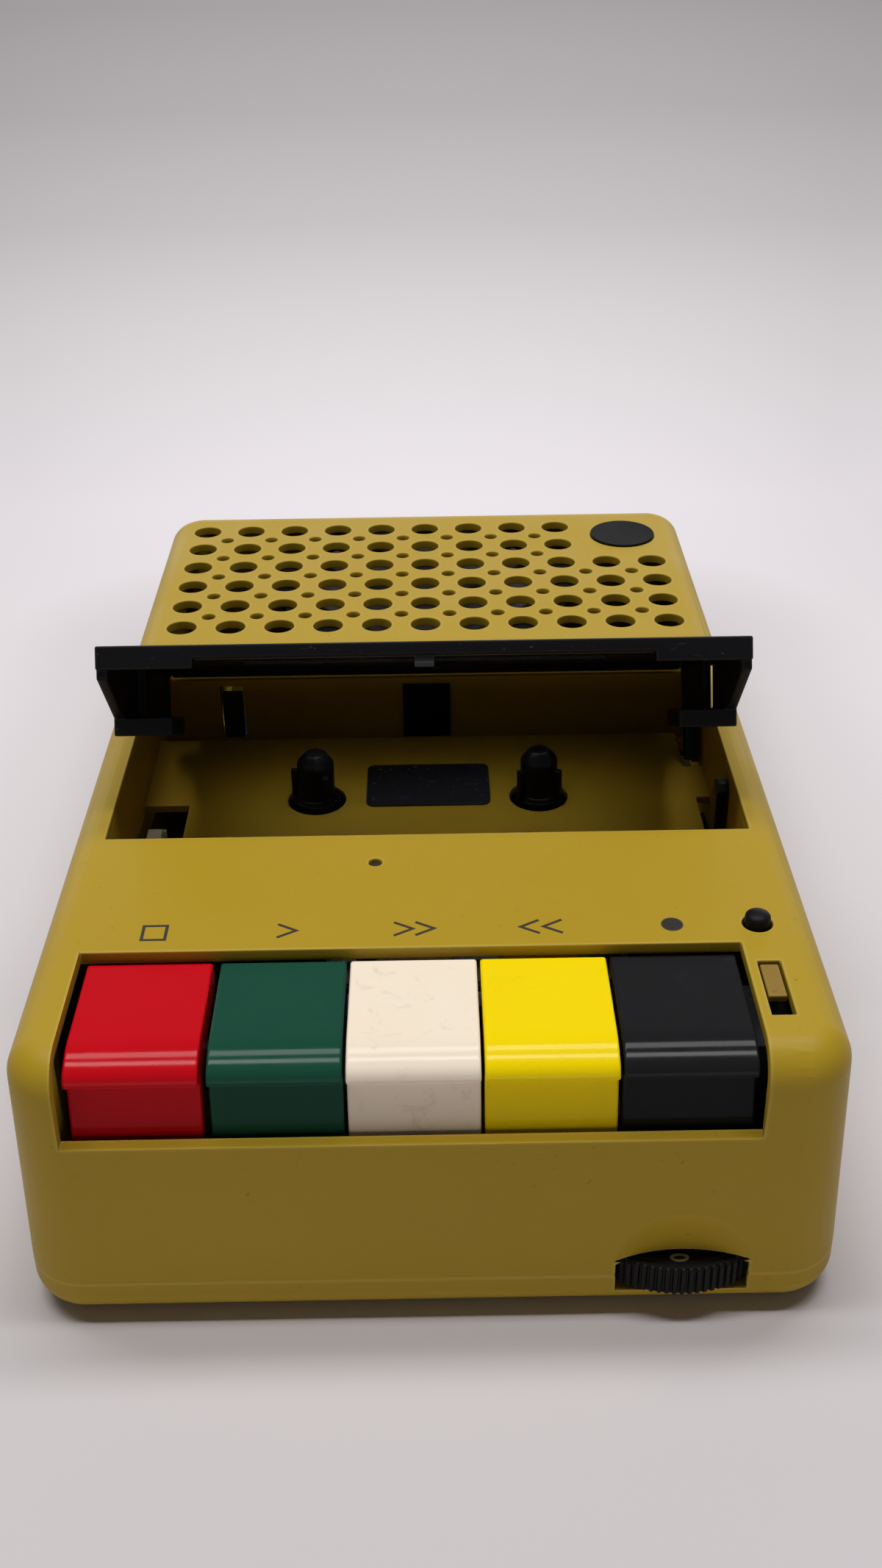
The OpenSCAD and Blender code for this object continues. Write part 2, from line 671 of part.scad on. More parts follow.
module lid_hinge_pins() {
  color("silver") for (s = [-1, 1]) translate([s * (bay_half - 3), hinge_y, hinge_z]) rotate([0, 90, 0])
    cylinder(d = lid_pin_d, h = 2 * (3 + bay_wall), center = true);
}

module lid_springs() {
  color("silver") for (s = [-1, 1]) translate([s * (bay_half - spring_w / 2), hinge_y, hinge_z]) {
    rotate([0, 90, 0]) difference() {
      cylinder(r = hinge_r - 0.1, h = spring_w, center = true);
      cylinder(r = lid_pin_d / 2 + 0.2, h = 4, center = true);
    }
    translate([-0.4, hinge_r - 0.9, -3]) cube([0.8, 0.8, 3]);
  }
}

// Piano key with its rolled nose, skirt, arm and hub; k counts from the left, -2 to 2
module key(k) {
  x = key_x + k * key_pitch + (k == -2 ? stop_key_shift : 0);
  lip = 3.8;
  roll_r = 11;
  roll_turn = 30;
  nose_r = (lip - roll_r * (1 - cos(roll_turn))) / cos(roll_turn);
  roll_y = key_front + nose_r * (1 - sin(roll_turn)) + roll_r * sin(roll_turn);
  nose_turn = 90 + roll_turn;
  nose_step = (180 - nose_turn) / 8;
  nose = concat(
    arc([roll_y, key_top - roll_r], roll_r, 90, nose_turn, 6),
    arc([key_front + nose_r, key_top - lip], nose_r, nose_turn + nose_step, 180, 7));
  skirt = [
    [key_front + 1.3, key_top - lip - 0.5], [key_front + 2.2, key_top - lip - 0.9],
    [key_front + 0.4, sill_z - 1.2], [key_front + 2.4, sill_z - 1.2],
    [key_front + 5, key_top - 5], [key_back, key_top - 4]];
  arm = [
    [key_back - 8, key_top - 3], [key_back, key_top - 3.4], [axle_y, axle_z + key_hub_r],
    [axle_y, axle_z - key_hub_r], [key_back - 2, axle_z - 1.6]];
  difference() {
    union() {
      along_x(x - key_w / 2, x + key_w / 2) polygon(concat([[key_back, key_top]], nose, skirt));
      along_x(x - 6, x + 6) polygon(arm);
      translate([x - 6, axle_y, axle_z]) rotate([0, 90, 0]) cylinder(r = key_hub_r, h = 12);
    }
    translate([x - 10, axle_y, axle_z]) rotate([0, 90, 0]) cylinder(r = axle_d / 2 + fit, h = 20);
  }
}

module stop_key() { color("red") key(-2); }
module play_key() { color("darkgreen") key(-1); }
module forward_key() { color("ivory") key(0); }
module rewind_key() { color("yellow") key(1); }
module record_key() { color([0.13, 0.13, 0.14]) key(2); }

module key_axle() {
  color("silver") translate([axle_x[0], axle_y, axle_z]) rotate([0, 90, 0]) cylinder(d = axle_d, h = axle_x[1] - axle_x[0]);
}

module key_bracket() {
  color("lightsteelblue") difference() {
    union() {
      for (x = [axle_x[0] + 0.6, axle_x[1] - 0.6 - bracket_t])
        slab([x, axle_y - 4, chassis_top], [x + bracket_t, axle_y + 8, axle_z + 4]);
      slab([axle_x[0] + 0.6, axle_y - 4, motor_z[1] + 0.6], [axle_x[1] - 0.6, axle_y + 3, motor_z[1] + 1.8]);
    }
    translate([axle_x[0] - 1, axle_y, axle_z]) rotate([0, 90, 0]) cylinder(d = axle_d, h = 120);
    for (p = posts) translate([p[0], p[1], chassis_z]) cylinder(r = screw_head_r + gap, h = chassis_t + screw_head_h + gap);
  }
}

module key_return_spring() {
  y0 = axle_y - 3;
  z0 = motor_z[1] + 1.8;
  color("silver") {
    slab([key_x - 2.4 * key_pitch, y0, z0], [key_x + 2.4 * key_pitch, y0 + 5, z0 + 0.4]);
    for (k = [-2:2]) along_x(key_x + k * key_pitch - 2, key_x + k * key_pitch + 2)
      polygon([[y0 + 0.5, z0], [y0 + 0.5, z0 + 0.4], [y0 - 10, z0 + 4.6], [y0 - 10, z0 + 4.2]]);
  }
}

module push_button() {
  color([0.07, 0.07, 0.07]) translate([button_x, button_y, 0]) {
    translate([0, 0, under_deck - 3]) cylinder(r = button_r, h = wall + 4.2);
    translate([0, 0, deck_z + 1.2]) intersection() {
      translate([0, 0, -1.3]) sphere(r = 2.4);
      cylinder(r = button_r, h = 3);
    }
    translate([0, 0, under_deck - 3]) cylinder(r = button_r + 1.2, h = 1);
    translate([0, 0, under_deck - 15]) cylinder(r = 1.2, h = 13);
  }
}

module button_switch() {
  color("dimgray") slab([button_x - 3.5, button_y - 3.5, board_z + board_t], [button_x + 3.5, button_y + 3.5, under_deck - 15 - button_travel - gap]);
}

module slide_knob() {
  x = [slider_x[0] + gap, slider_x[1] - gap];
  y = slider_y[1] - gap;
  top = deck_z - knob_drop;
  color("tan") {
    slab([x[0], y - knob_l, top - knob_t], [x[1], y, top]);
    slab([x[0], y - stem_l, under_deck - 3.2], [x[1], y, top - knob_t / 2]);
  }
}

module slide_switch() {
  color("gray") slab([slider_x[0] - 1.6, slider_y[0] - 0.4, board_z + board_t], [slider_x[1] + 1.6, slider_y[1] + 1, under_deck - 3.2 - gap]);
}

// Ribbed outline of the volume wheel
function ribbed(r, n, depth) = [for (i = [0:2 * n - 1])
  let (a = 180 * (i + 0.5) / n) (i % 2 == 0 ? r : r - depth) * [cos(a), sin(a)]];

module volume_wheel() {
  color([0.1, 0.1, 0.1]) translate([wheel_x, wheel_y, wheel_z]) union() {
    linear_extrude(wheel_t) polygon(ribbed(wheel_r, wheel_ribs, 0.35));
    cylinder(r = pot_shaft_r, h = board_z - wheel_z - gap);
    translate([0, 0, -gap]) cylinder(r = 2, h = 1);
  }
}

module volume_pot() {
  color("silver") translate([wheel_x, wheel_y, wheel_z + wheel_t + gap]) difference() {
    cylinder(r = pot_r, h = board_z - wheel_z - wheel_t - gap);
    translate([0, 0, -1]) cylinder(r = pot_shaft_r + fit, h = 10);
  }
}

module circuit_board() {
  color("darkkhaki") difference() {
    slab([board_x[0], board_y[0], board_z], [board_x[1], board_y[1], board_z + board_t]);
    translate([motor_x, motor_y, 0]) cylinder(r = motor_r + 4, h = case_h);
  }
}

module board_components() {
  color("gray") translate([0, 0, board_z + board_t]) {
    for (i = [0:3]) translate([board_x[0] + 9 + i * 8, board_y[1] - 9, 0]) cylinder(r = 2.6, h = 5.4);
    for (i = [0:4]) translate([board_x[0] + 10 + i * 7, board_y[1] - 17, 0]) cylinder(r = 1.8, h = 5);
    slab([board_x[0] + 8, board_y[0] + 5, 0], [board_x[0] + 20, board_y[0] + 15, 9]);
    for (i = [0:5]) slab([board_x[0] + 26, board_y[0] + 4 + i * 3, 0], [board_x[0] + 33, board_y[0] + 5.6 + i * 3, 1.6]);
  }
}

module motor() {
  color("silver") translate([motor_x, motor_y, 0]) union() {
    translate([0, 0, motor_z[0]]) cylinder(r = motor_r, h = motor_z[1] - motor_z[0]);
    translate([0, 0, chassis_z - 1.5]) cylinder(r = motor_r + 3, h = 1.5);
    translate([0, 0, motor_z[0] - 1.2]) cylinder(r = 4, h = 1.3);
  }
}

module motor_pulley() {
  color("gold") translate([motor_x, motor_y, 0]) union() {
    translate([0, 0, belt_z - 1.4]) cylinder(r = pulley_r + 1.2, h = 1);
    translate([0, 0, belt_z - 0.5]) cylinder(r = pulley_r, h = belt_h + 0.8);
    translate([0, 0, belt_z + belt_h + 0.2]) cylinder(r = pulley_r + 1.2, h = 0.7);
  }
}

module drive_belt() {
  color([0.12, 0.12, 0.12]) translate([0, 0, belt_z]) linear_extrude(belt_h) difference() {
    hull() {
      translate([motor_x, motor_y]) circle(pulley_r + 0.1 + belt_t);
      translate([capstan_x, capstan_y]) circle(fly_r - 1.4 + 0.1 + belt_t);
    }
    hull() {
      translate([motor_x, motor_y]) circle(pulley_r + 0.1);
      translate([capstan_x, capstan_y]) circle(fly_r - 1.4 + 0.1);
    }
  }
}

module flywheel() {
  color("silver") translate([capstan_x, capstan_y, 0]) union() {
    translate([0, 0, fly_z]) difference() {
      cylinder(r = fly_r, h = fly_t);
      translate([0, 0, belt_z - fly_z - 0.3]) difference() {
        cylinder(r = fly_r + 1, h = belt_h + 0.6);
        translate([0, 0, -1]) cylinder(r = fly_r - 1.4, h = belt_h + 3);
      }
    }
    translate([0, 0, fly_z - 1]) cylinder(r = capstan_r, h = tape_z + 1.5 - fly_z + 1);
    translate([0, 0, fly_z + fly_t - 0.5]) cylinder(r = 4, h = 3);
  }
}

module capstan_bearing() {
  color("peru") translate([capstan_x, capstan_y, chassis_z - 3]) difference() {
    union() {
      cylinder(r = 3, h = 9);
      cylinder(r = 4.5, h = 3);
    }
    translate([0, 0, -1]) cylinder(r = capstan_r + fit, h = 12);
  }
}

module head_slide() {
  color("lightsteelblue") union() {
    slab([-slide_x, slide_y[0], slide_z], [slide_x, slide_y[1], slide_z + slide_t]);
    for (x = [-10, 22]) translate([x, bay_front - 8.3, chassis_top + 0.3]) cylinder(r = 2.5, h = slide_z - chassis_top);
    translate([capstan_x, roller_y, slide_z]) cylinder(r = 1, h = tape_z + 3 - slide_z);
  }
}

module play_head() {
  color("silver") slab([-6, bay_front - 8, slide_z + slide_t], [6, bay_front + 1, tape_z + 2.6]);
}

module erase_head() {
  color("gray") slab([-21, bay_front - 7, slide_z + slide_t], [-14, bay_front + 0.6, tape_z + 2.2]);
}

module pinch_roller() {
  color([0.12, 0.12, 0.12]) translate([capstan_x, roller_y, slide_z + slide_t + 0.3]) difference() {
    cylinder(r = roller_r, h = tape_z + 2.6 - slide_z - slide_t - 0.3);
    translate([0, 0, -1]) cylinder(r = 1 + fit, h = 20);
  }
}

module jack_sockets() {
  color([0.1, 0.1, 0.1]) for (y = jack_y) translate([-half_w + 0.6, y, jack_z]) rotate([0, 90, 0]) difference() {
    cylinder(r = jack_r, h = 11);
    translate([0, 0, -1]) cylinder(r = 1.75, h = 10);
  }
}

upper_case();
cassette_bay();
bottom_case();
badge();
rubber_feet();
case_screws();
battery_door();
battery_cells();
battery_contacts();
speaker_frame();
speaker_cone();
speaker_magnet();
chassis_plate();
chassis_screws();
spindle_pins();
brake_lever();
supply_spindle();
takeup_spindle();
tape_mirror();
cassette_pad();
safety_lever();
lid_lift_lever();
cassette_lid();
lid_window();
lid_catch();
lid_latch();
lid_hinge_pins();
lid_springs();
stop_key();
play_key();
forward_key();
rewind_key();
record_key();
key_axle();
key_bracket();
key_return_spring();
push_button();
button_switch();
slide_knob();
slide_switch();
volume_wheel();
volume_pot();
circuit_board();
board_components();
motor();
motor_pulley();
drive_belt();
flywheel();
capstan_bearing();
head_slide();
play_head();
erase_head();
pinch_roller();
jack_sockets();
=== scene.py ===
# %% [markdown]
# # A portable cassette recorder
# The CAD model gives every solid its place, in metres, with X to the user's right, Y away from
# the keys and Z up. This lesson keeps those places and gives each surface its finish: satin mustard
# plastic, glossy piano keys, black lid, spindles and wheel. Every new piece rides on a CAD body,
# so the lid, the keys and the wheel still move.

# %% Load the frame
import json
import math

import bmesh
import bpy
from mathutils import Matrix, Vector

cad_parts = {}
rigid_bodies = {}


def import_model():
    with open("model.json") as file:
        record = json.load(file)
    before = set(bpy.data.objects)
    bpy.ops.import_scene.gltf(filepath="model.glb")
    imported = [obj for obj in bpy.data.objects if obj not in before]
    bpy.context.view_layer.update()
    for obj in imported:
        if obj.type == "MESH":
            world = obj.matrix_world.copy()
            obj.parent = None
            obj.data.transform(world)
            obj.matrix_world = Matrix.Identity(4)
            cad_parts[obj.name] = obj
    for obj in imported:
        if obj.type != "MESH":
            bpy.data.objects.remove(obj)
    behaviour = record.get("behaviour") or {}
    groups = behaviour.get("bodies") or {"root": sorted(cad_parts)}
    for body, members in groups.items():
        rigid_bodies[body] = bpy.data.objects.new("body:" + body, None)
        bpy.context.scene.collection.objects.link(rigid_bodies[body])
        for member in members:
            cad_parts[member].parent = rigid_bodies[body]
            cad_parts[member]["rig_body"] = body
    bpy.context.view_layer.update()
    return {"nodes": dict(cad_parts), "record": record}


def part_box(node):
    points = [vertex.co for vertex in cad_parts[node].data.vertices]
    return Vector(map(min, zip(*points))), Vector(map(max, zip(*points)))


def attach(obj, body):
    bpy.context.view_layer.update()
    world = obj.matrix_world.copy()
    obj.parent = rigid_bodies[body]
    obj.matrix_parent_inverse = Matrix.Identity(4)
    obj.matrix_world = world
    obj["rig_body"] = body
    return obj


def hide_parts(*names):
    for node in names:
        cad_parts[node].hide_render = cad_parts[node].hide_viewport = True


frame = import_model()
nodes = frame["nodes"]
slot_of = {row["node"]: row["material_slot"] for row in frame["record"]["subparts"]}
MM = 0.001

# %% [markdown]
# ## Camera
# The grid of holes in the loudspeaker deck is square, and the two spindles of a compact cassette
# are 42.5 mm apart. These two facts fix where the camera stood: low, close, and almost straight in
# front. It could be aimed at a point, but its pan, tilt and roll in degrees are easier to correct.

# %% Camera
PHOTO_HEIGHT, FOCAL_PIXELS = 2133, 2249.6
EYE = Vector((1.3745, -275.13, 201.27)) * MM
PAN, TILT, ROLL = (math.radians(a) for a in (0.2534, 31.382, -0.813))
flat_right = Vector((math.cos(PAN), -math.sin(PAN), 0))
flat_ahead = Vector((math.sin(PAN), math.cos(PAN), 0))
ahead = flat_ahead * math.cos(TILT) - Vector((0, 0, 1)) * math.sin(TILT)
rise = Vector((0, 0, 1)) * math.cos(TILT) + flat_ahead * math.sin(TILT)
side = flat_right * math.cos(ROLL) + rise * math.sin(ROLL)
rise = rise * math.cos(ROLL) - flat_right * math.sin(ROLL)
lens = bpy.data.cameras.new("camera")
lens.sensor_width = 36
lens.lens = FOCAL_PIXELS * lens.sensor_width / PHOTO_HEIGHT
lens.clip_start = 0.01
camera = bpy.data.objects.new("camera", lens)
camera.matrix_world = Matrix.Translation(EYE) @ Matrix((side, rise, -ahead)).transposed().to_4x4()
bpy.context.scene.collection.objects.link(camera)
bpy.context.scene.camera = camera
print("lens in mm:", round(lens.lens, 2))

# %% [markdown]
# ## Colour and nodes
# Colours are written as sRGB hex values, as a paint chart gives them. Blender's shaders want linear
# light, so one function turns them. A second one adds a shader node, sets it and links it, and
# every material below is a short list of such calls. Pattern sizes are given in millimetres.
# The mustard and the black finishes are painted paler on their edges: partly wear, and partly a painted
# highlight where an edge would catch the light. A bevel node rounds the normal there, and the more it
# turns away from the true one, the paler the edge.

# %% Helpers for materials
def linear(hex_colour):
    parts = [int(hex_colour[i:i + 2], 16) / 255 for i in (1, 3, 5)]
    return [p / 12.92 if p <= 0.04045 else ((p + 0.055) / 1.055) ** 2.4 for p in parts] + [1]


def add(tree, kind, inputs=None, **settings):
    made = tree.nodes.new("ShaderNode" + kind)
    for name, value in settings.items():
        setattr(made, name, value)
    for key, value in (inputs or {}).items():
        if isinstance(value, bpy.types.NodeSocket):
            tree.links.new(value, made.inputs[key])
        else:
            made.inputs[key].default_value = value
    return made


# A colour Mix node has sockets for other kinds of value too, so its own are picked by place.
FACTOR, FIRST, SECOND, MIXED = 0, 6, 7, 2


def per_mm(size):
    return 1 / (size * MM)


def new_finish(name):
    finish = bpy.data.materials.new(name)
    finish.use_nodes = True
    tree = finish.node_tree
    return finish, tree, tree.nodes["Principled BSDF"], add(tree, "TexCoord").outputs["Object"]


# Paler edges: partly wear and partly a painted highlight along each edge.
def edge_wear_and_highlight(tree, radius, first_turn, full_turn, share):
    rounded = add(tree, "Bevel", {"Radius": radius * MM}, samples=4)
    straight = add(tree, "NewGeometry")
    turn = add(tree, "VectorMath", {0: rounded.outputs["Normal"], 1: straight.outputs["Normal"]},
               operation="DOT_PRODUCT")
    rubbed_and_highlit = add(tree, "MapRange", {"Value": turn.outputs["Value"], "From Min": first_turn,
                                    "From Max": full_turn, "To Max": share})
    return rubbed_and_highlit.outputs["Result"]


print("a 1 mm pattern has scale:", per_mm(1))


# %% [markdown]
# ## Mustard ABS
# The case is injection-moulded ABS, dyed through, satin from a lightly etched mould. Age shows as
# slow changes of tone and tiny dark specks. An ambient occlusion node darkens the corners and hollows
# towards the specks' dark tone: this is painted shade, partly grime. The edges are painted paler, partly
# as wear and partly as a painted highlight. The real etching is finer than 0.1 mm and would not show,
# so it is drawn about 1 mm wide.

# %% Mustard ABS
def aged_abs(name, tone, tone_warm, grime_and_shade, worn, roughness, speck_share):
    finish, tree, shader, place = new_finish(name)
    cloud = add(tree, "TexNoise", {"Vector": place, "Scale": per_mm(42), "Detail": 5, "Roughness": 0.6})
    body = add(tree, "Mix", {FACTOR: cloud.outputs["Fac"], FIRST: linear(tone), SECOND: linear(tone_warm)},
               data_type="RGBA")
    grit = add(tree, "TexNoise", {"Vector": place, "Scale": per_mm(1.3), "Detail": 2})
    patch = add(tree, "TexNoise", {"Vector": place, "Scale": per_mm(19), "Detail": 3})
    specks = add(tree, "MapRange", {"Value": grit.outputs["Fac"], "From Min": 0.70, "From Max": 0.76})
    dirty = add(tree, "MapRange", {"Value": patch.outputs["Fac"], "From Min": 0.42, "From Max": 0.7,
                                   "To Max": speck_share})
    speckled = add(tree, "Math", {0: specks.outputs["Result"], 1: dirty.outputs["Result"]},
                   operation="MULTIPLY")
    spotted = add(tree, "Mix", {FACTOR: speckled.outputs["Value"], FIRST: body.outputs[MIXED],
                                SECOND: linear(grime_and_shade)}, data_type="RGBA")
    # Painted shade, partly grime: ambient occlusion darkens corners and hollows towards the dark speck tone.
    corner = add(tree, "AmbientOcclusion", {"Distance": 2 * MM}, samples=6)
    painted_corner_shade = add(tree, "MapRange", {"Value": corner.outputs["AO"], "From Min": 0.2, "From Max": 0.7,
                                  "To Min": 0.3, "To Max": 0.0})
    with_corner_shade = add(tree, "Mix", {FACTOR: painted_corner_shade.outputs["Result"], FIRST: spotted.outputs[MIXED],
                              SECOND: linear(grime_and_shade)}, data_type="RGBA")
    # The pale edge colour is partly wear and partly a painted highlight.
    colour = add(tree, "Mix", {FACTOR: edge_wear_and_highlight(tree, 0.7, 0.995, 0.95, 0.5),
                               FIRST: with_corner_shade.outputs[MIXED], SECOND: linear(worn)}, data_type="RGBA")
    satin = add(tree, "MapRange", {"Value": patch.outputs["Fac"], "From Min": 0.3, "From Max": 0.7,
                                   "To Min": roughness - 0.06, "To Max": roughness + 0.08})
    peel = add(tree, "TexNoise", {"Vector": place, "Scale": per_mm(0.9), "Detail": 2})
    dimple = add(tree, "Bump", {"Height": peel.outputs["Fac"], "Strength": 0.12, "Distance": 0.05 * MM})
    tree.links.new(colour.outputs[MIXED], shader.inputs["Base Color"])
    tree.links.new(satin.outputs["Result"], shader.inputs["Roughness"])
    tree.links.new(dimple.outputs["Normal"], shader.inputs["Normal"])
    shader.inputs["IOR"].default_value = 1.53
    shader.inputs["Specular IOR Level"].default_value = 0.16
    return finish


case_abs = aged_abs("ABS mustard satin", "#B09327", "#AA8C20", "#3E2C10", "#C9B05C", 0.44, 0.5)
# The bay is the same mustard plastic in a darker, browner tone: painted shade, as the open lid shades the
# bay.
shaded_bay_abs = aged_abs("ABS mustard satin bay", "#AC8A24", "#A38120", "#3A2A0E", "#B79A40", 0.5, 0.3)
knob_abs = aged_abs("ABS tan satin knob", "#927636", "#846829", "#3A2A12", "#A0863F", 0.5, 0.6)
print("mustard finishes ready")

# %% [markdown]
# ## Black ABS
# The lid, spindles, wheel, badge and levers are black ABS. Handling leaves pale hairline scuffs and
# dust, which a stretched noise gives: long along one axis, thin across it. The same recipe with other
# numbers makes the painted steel, the rubber feet and the dusty black mirror plate in the bay.

# %% Black ABS
def black_abs(name, tone, tone_two, scuff, roughness, scuff_share, dust_share):
    finish, tree, shader, place = new_finish(name)
    cloud = add(tree, "TexNoise", {"Vector": place, "Scale": per_mm(14), "Detail": 4})
    body = add(tree, "Mix", {FACTOR: cloud.outputs["Fac"], FIRST: linear(tone), SECOND: linear(tone_two)},
               data_type="RGBA")
    slant = add(tree, "Mapping", {"Vector": place, "Rotation": (0.3, 0.2, 0.7), "Scale": (1, 9, 4)})
    lines = add(tree, "TexNoise", {"Vector": slant.outputs["Vector"], "Scale": per_mm(9), "Detail": 3,
                                   "Distortion": 0.6})
    hair = add(tree, "MapRange", {"Value": lines.outputs["Fac"], "From Min": 0.67, "From Max": 0.75,
                                  "To Max": scuff_share})
    grit = add(tree, "TexNoise", {"Vector": place, "Scale": per_mm(0.9), "Detail": 1})
    dust = add(tree, "MapRange", {"Value": grit.outputs["Fac"], "From Min": 0.72, "From Max": 0.78,
                                  "To Max": dust_share})
    pale = add(tree, "Math", {0: hair.outputs["Result"], 1: dust.outputs["Result"]}, operation="MAXIMUM")
    mark = add(tree, "Math", {0: pale.outputs["Value"], 1: edge_wear_and_highlight(tree, 0.4, 0.99, 0.85, 0.22)},
               operation="MAXIMUM")
    colour = add(tree, "Mix", {FACTOR: mark.outputs["Value"], FIRST: body.outputs[MIXED],
                               SECOND: linear(scuff)}, data_type="RGBA")
    dull = add(tree, "MapRange", {"Value": cloud.outputs["Fac"], "From Min": 0.3, "From Max": 0.7,
                                  "To Min": roughness - 0.05, "To Max": roughness + 0.08})
    tree.links.new(colour.outputs[MIXED], shader.inputs["Base Color"])
    tree.links.new(dull.outputs["Result"], shader.inputs["Roughness"])
    shader.inputs["IOR"].default_value = 1.53
    shader.inputs["Specular IOR Level"].default_value = 0.08
    return finish


lid_black = black_abs("ABS black satin lid", "#0B0B0E", "#101013", "#7E7C80", 0.42, 0.2, 0.22)
spindle_black = black_abs("ABS black spindle", "#131315", "#17171A", "#4A4A50", 0.32, 0.08, 0.1)
wheel_black = black_abs("ABS black wheel", "#101011", "#151516", "#55524A", 0.42, 0.15, 0.2)
badge_black = black_abs("ABS black badge", "#060607", "#09090A", "#5A5A5E", 0.55, 0.15, 0.2)
frame_black = black_abs("steel black painted", "#08080A", "#0E0E10", "#3A3A3E", 0.5, 0.05, 0.1)
mirror = black_abs("glass black mirror", "#242428", "#2A2A2E", "#77777E", 0.12, 0.3, 0.6)
lever_grey = black_abs("ABS dark grey lever", "#2C2C2E", "#333336", "#6A6A6C", 0.45, 0.15, 0.2)
rubber = black_abs("rubber moulded foot", "#151515", "#1B1B1B", "#4A4A48", 0.75, 0.05, 0.3)
print("black finishes ready")

# %% [markdown]
# ## Key plastic
# The piano keys are polished ABS in five colours. A polished mould leaves a near mirror gloss with
# a slow ripple, and fingers leave a grey film, most visible on the ivory key.

# %% Key plastic
def key_abs(name, tone, deep, film, film_share):
    finish, tree, shader, place = new_finish(name)
    cloud = add(tree, "TexNoise", {"Vector": place, "Scale": per_mm(11), "Detail": 4})
    body = add(tree, "Mix", {FACTOR: cloud.outputs["Fac"], FIRST: linear(tone), SECOND: linear(deep)},
               data_type="RGBA")
    smear = add(tree, "TexNoise", {"Vector": place, "Scale": per_mm(4.5), "Detail": 6, "Roughness": 0.7,
                                   "Distortion": 0.8})
    worn = add(tree, "MapRange", {"Value": smear.outputs["Fac"], "From Min": 0.56, "From Max": 0.8,
                                  "To Max": film_share})
    colour = add(tree, "Mix", {FACTOR: worn.outputs["Result"], FIRST: body.outputs[MIXED],
                               SECOND: linear(film)}, data_type="RGBA")
    gloss = add(tree, "MapRange", {"Value": smear.outputs["Fac"], "From Min": 0.3, "From Max": 0.8,
                                   "To Min": 0.07, "To Max": 0.15})
    ripple = add(tree, "TexNoise", {"Vector": place, "Scale": per_mm(7), "Detail": 1})
    wave = add(tree, "Bump", {"Height": ripple.outputs["Fac"], "Strength": 0.04, "Distance": 0.2 * MM})
    tree.links.new(colour.outputs[MIXED], shader.inputs["Base Color"])
    tree.links.new(gloss.outputs["Result"], shader.inputs["Roughness"])
    tree.links.new(wave.outputs["Normal"], shader.inputs["Normal"])
    shader.inputs["IOR"].default_value = 1.54
    shader.inputs["Specular IOR Level"].default_value = 0.085
    return finish


key_finish = {
    "stop_key": key_abs("ABS polished red", "#C60618", "#BE0514", "#8E1A1E", 0.08),
    "play_key": key_abs("ABS polished green", "#174B3A", "#154636", "#2E4A3C", 0.12),
    "forward_key": key_abs("ABS polished ivory", "#F8EAD6", "#F4E4CE", "#9C8E7C", 0.45),
    "rewind_key": key_abs("ABS polished yellow", "#FADC00", "#F6D600", "#B89C20", 0.1),
    "record_key": key_abs("ABS polished black", "#1C1C1E", "#19191B", "#3C3C40", 0.15),
}
print("key finishes:", len(key_finish))

# %% [markdown]
# ## Metals, window, paper and board
# The works inside are zinc-plated steel, brass and a ferrite magnet, seen through slots and when a
# key or door is moved. Plating is bright with a fine brushed line, and a metal keeps its default IOR.
# Paper, board, nylon and ink need only two tones and a slight grain. The window is clear acrylic with
# a thin haze of fine scratches, which makes its roughness uneven.

# %% Metals and the rest
def plated(name, tone, dark, roughness):
    finish, tree, shader, place = new_finish(name)
    drawn = add(tree, "Mapping", {"Vector": place, "Scale": (1, 14, 14)})
    lines = add(tree, "TexNoise", {"Vector": drawn.outputs["Vector"], "Scale": per_mm(8), "Detail": 4})
    colour = add(tree, "Mix", {FACTOR: lines.outputs["Fac"], FIRST: linear(tone), SECOND: linear(dark)},
                 data_type="RGBA")
    rough = add(tree, "MapRange", {"Value": lines.outputs["Fac"], "To Min": roughness,
                                   "To Max": roughness + 0.25})
    tree.links.new(colour.outputs[MIXED], shader.inputs["Base Color"])
    tree.links.new(rough.outputs["Result"], shader.inputs["Roughness"])
    shader.inputs["Metallic"].default_value = 1
    return finish


steel = plated("steel zinc plated", "#B9BCBE", "#8E9194", 0.22)
brass = plated("brass turned", "#C9A65A", "#A07F3A", 0.2)


def dyed(name, tone, second, grain, roughness):
    finish, tree, shader, place = new_finish(name)
    fibre = add(tree, "TexNoise", {"Vector": place, "Scale": per_mm(grain), "Detail": 5})
    colour = add(tree, "Mix", {FACTOR: fibre.outputs["Fac"], FIRST: linear(tone), SECOND: linear(second)},
                 data_type="RGBA")
    lift = add(tree, "Bump", {"Height": fibre.outputs["Fac"], "Strength": 0.3, "Distance": 0.1 * MM})
    tree.links.new(colour.outputs[MIXED], shader.inputs["Base Color"])
    tree.links.new(lift.outputs["Normal"], shader.inputs["Normal"])
    shader.inputs["Roughness"].default_value = roughness
    return finish


cone_paper = dyed("paper pulp cone", "#16130F", "#28221A", 0.8, 0.85)
board_paper = dyed("paper phenolic board", "#7A5A2A", "#6A4C22", 2.5, 0.5)
cell_wrap = dyed("steel printed cell jacket", "#3A5E86", "#2F4F74", 6, 0.35)
nylon = dyed("nylon ivory lever", "#D8CDB0", "#C2B594", 3, 0.45)
ferrite = dyed("ferrite magnet", "#3A3A3C", "#2C2C2E", 1.2, 0.6)
capacitor = dyed("aluminium lacquered can", "#4A4A52", "#3C3C44", 3, 0.4)
ink = dyed("screen ink brown", "#1A1408", "#22190A", 0.6, 0.6)
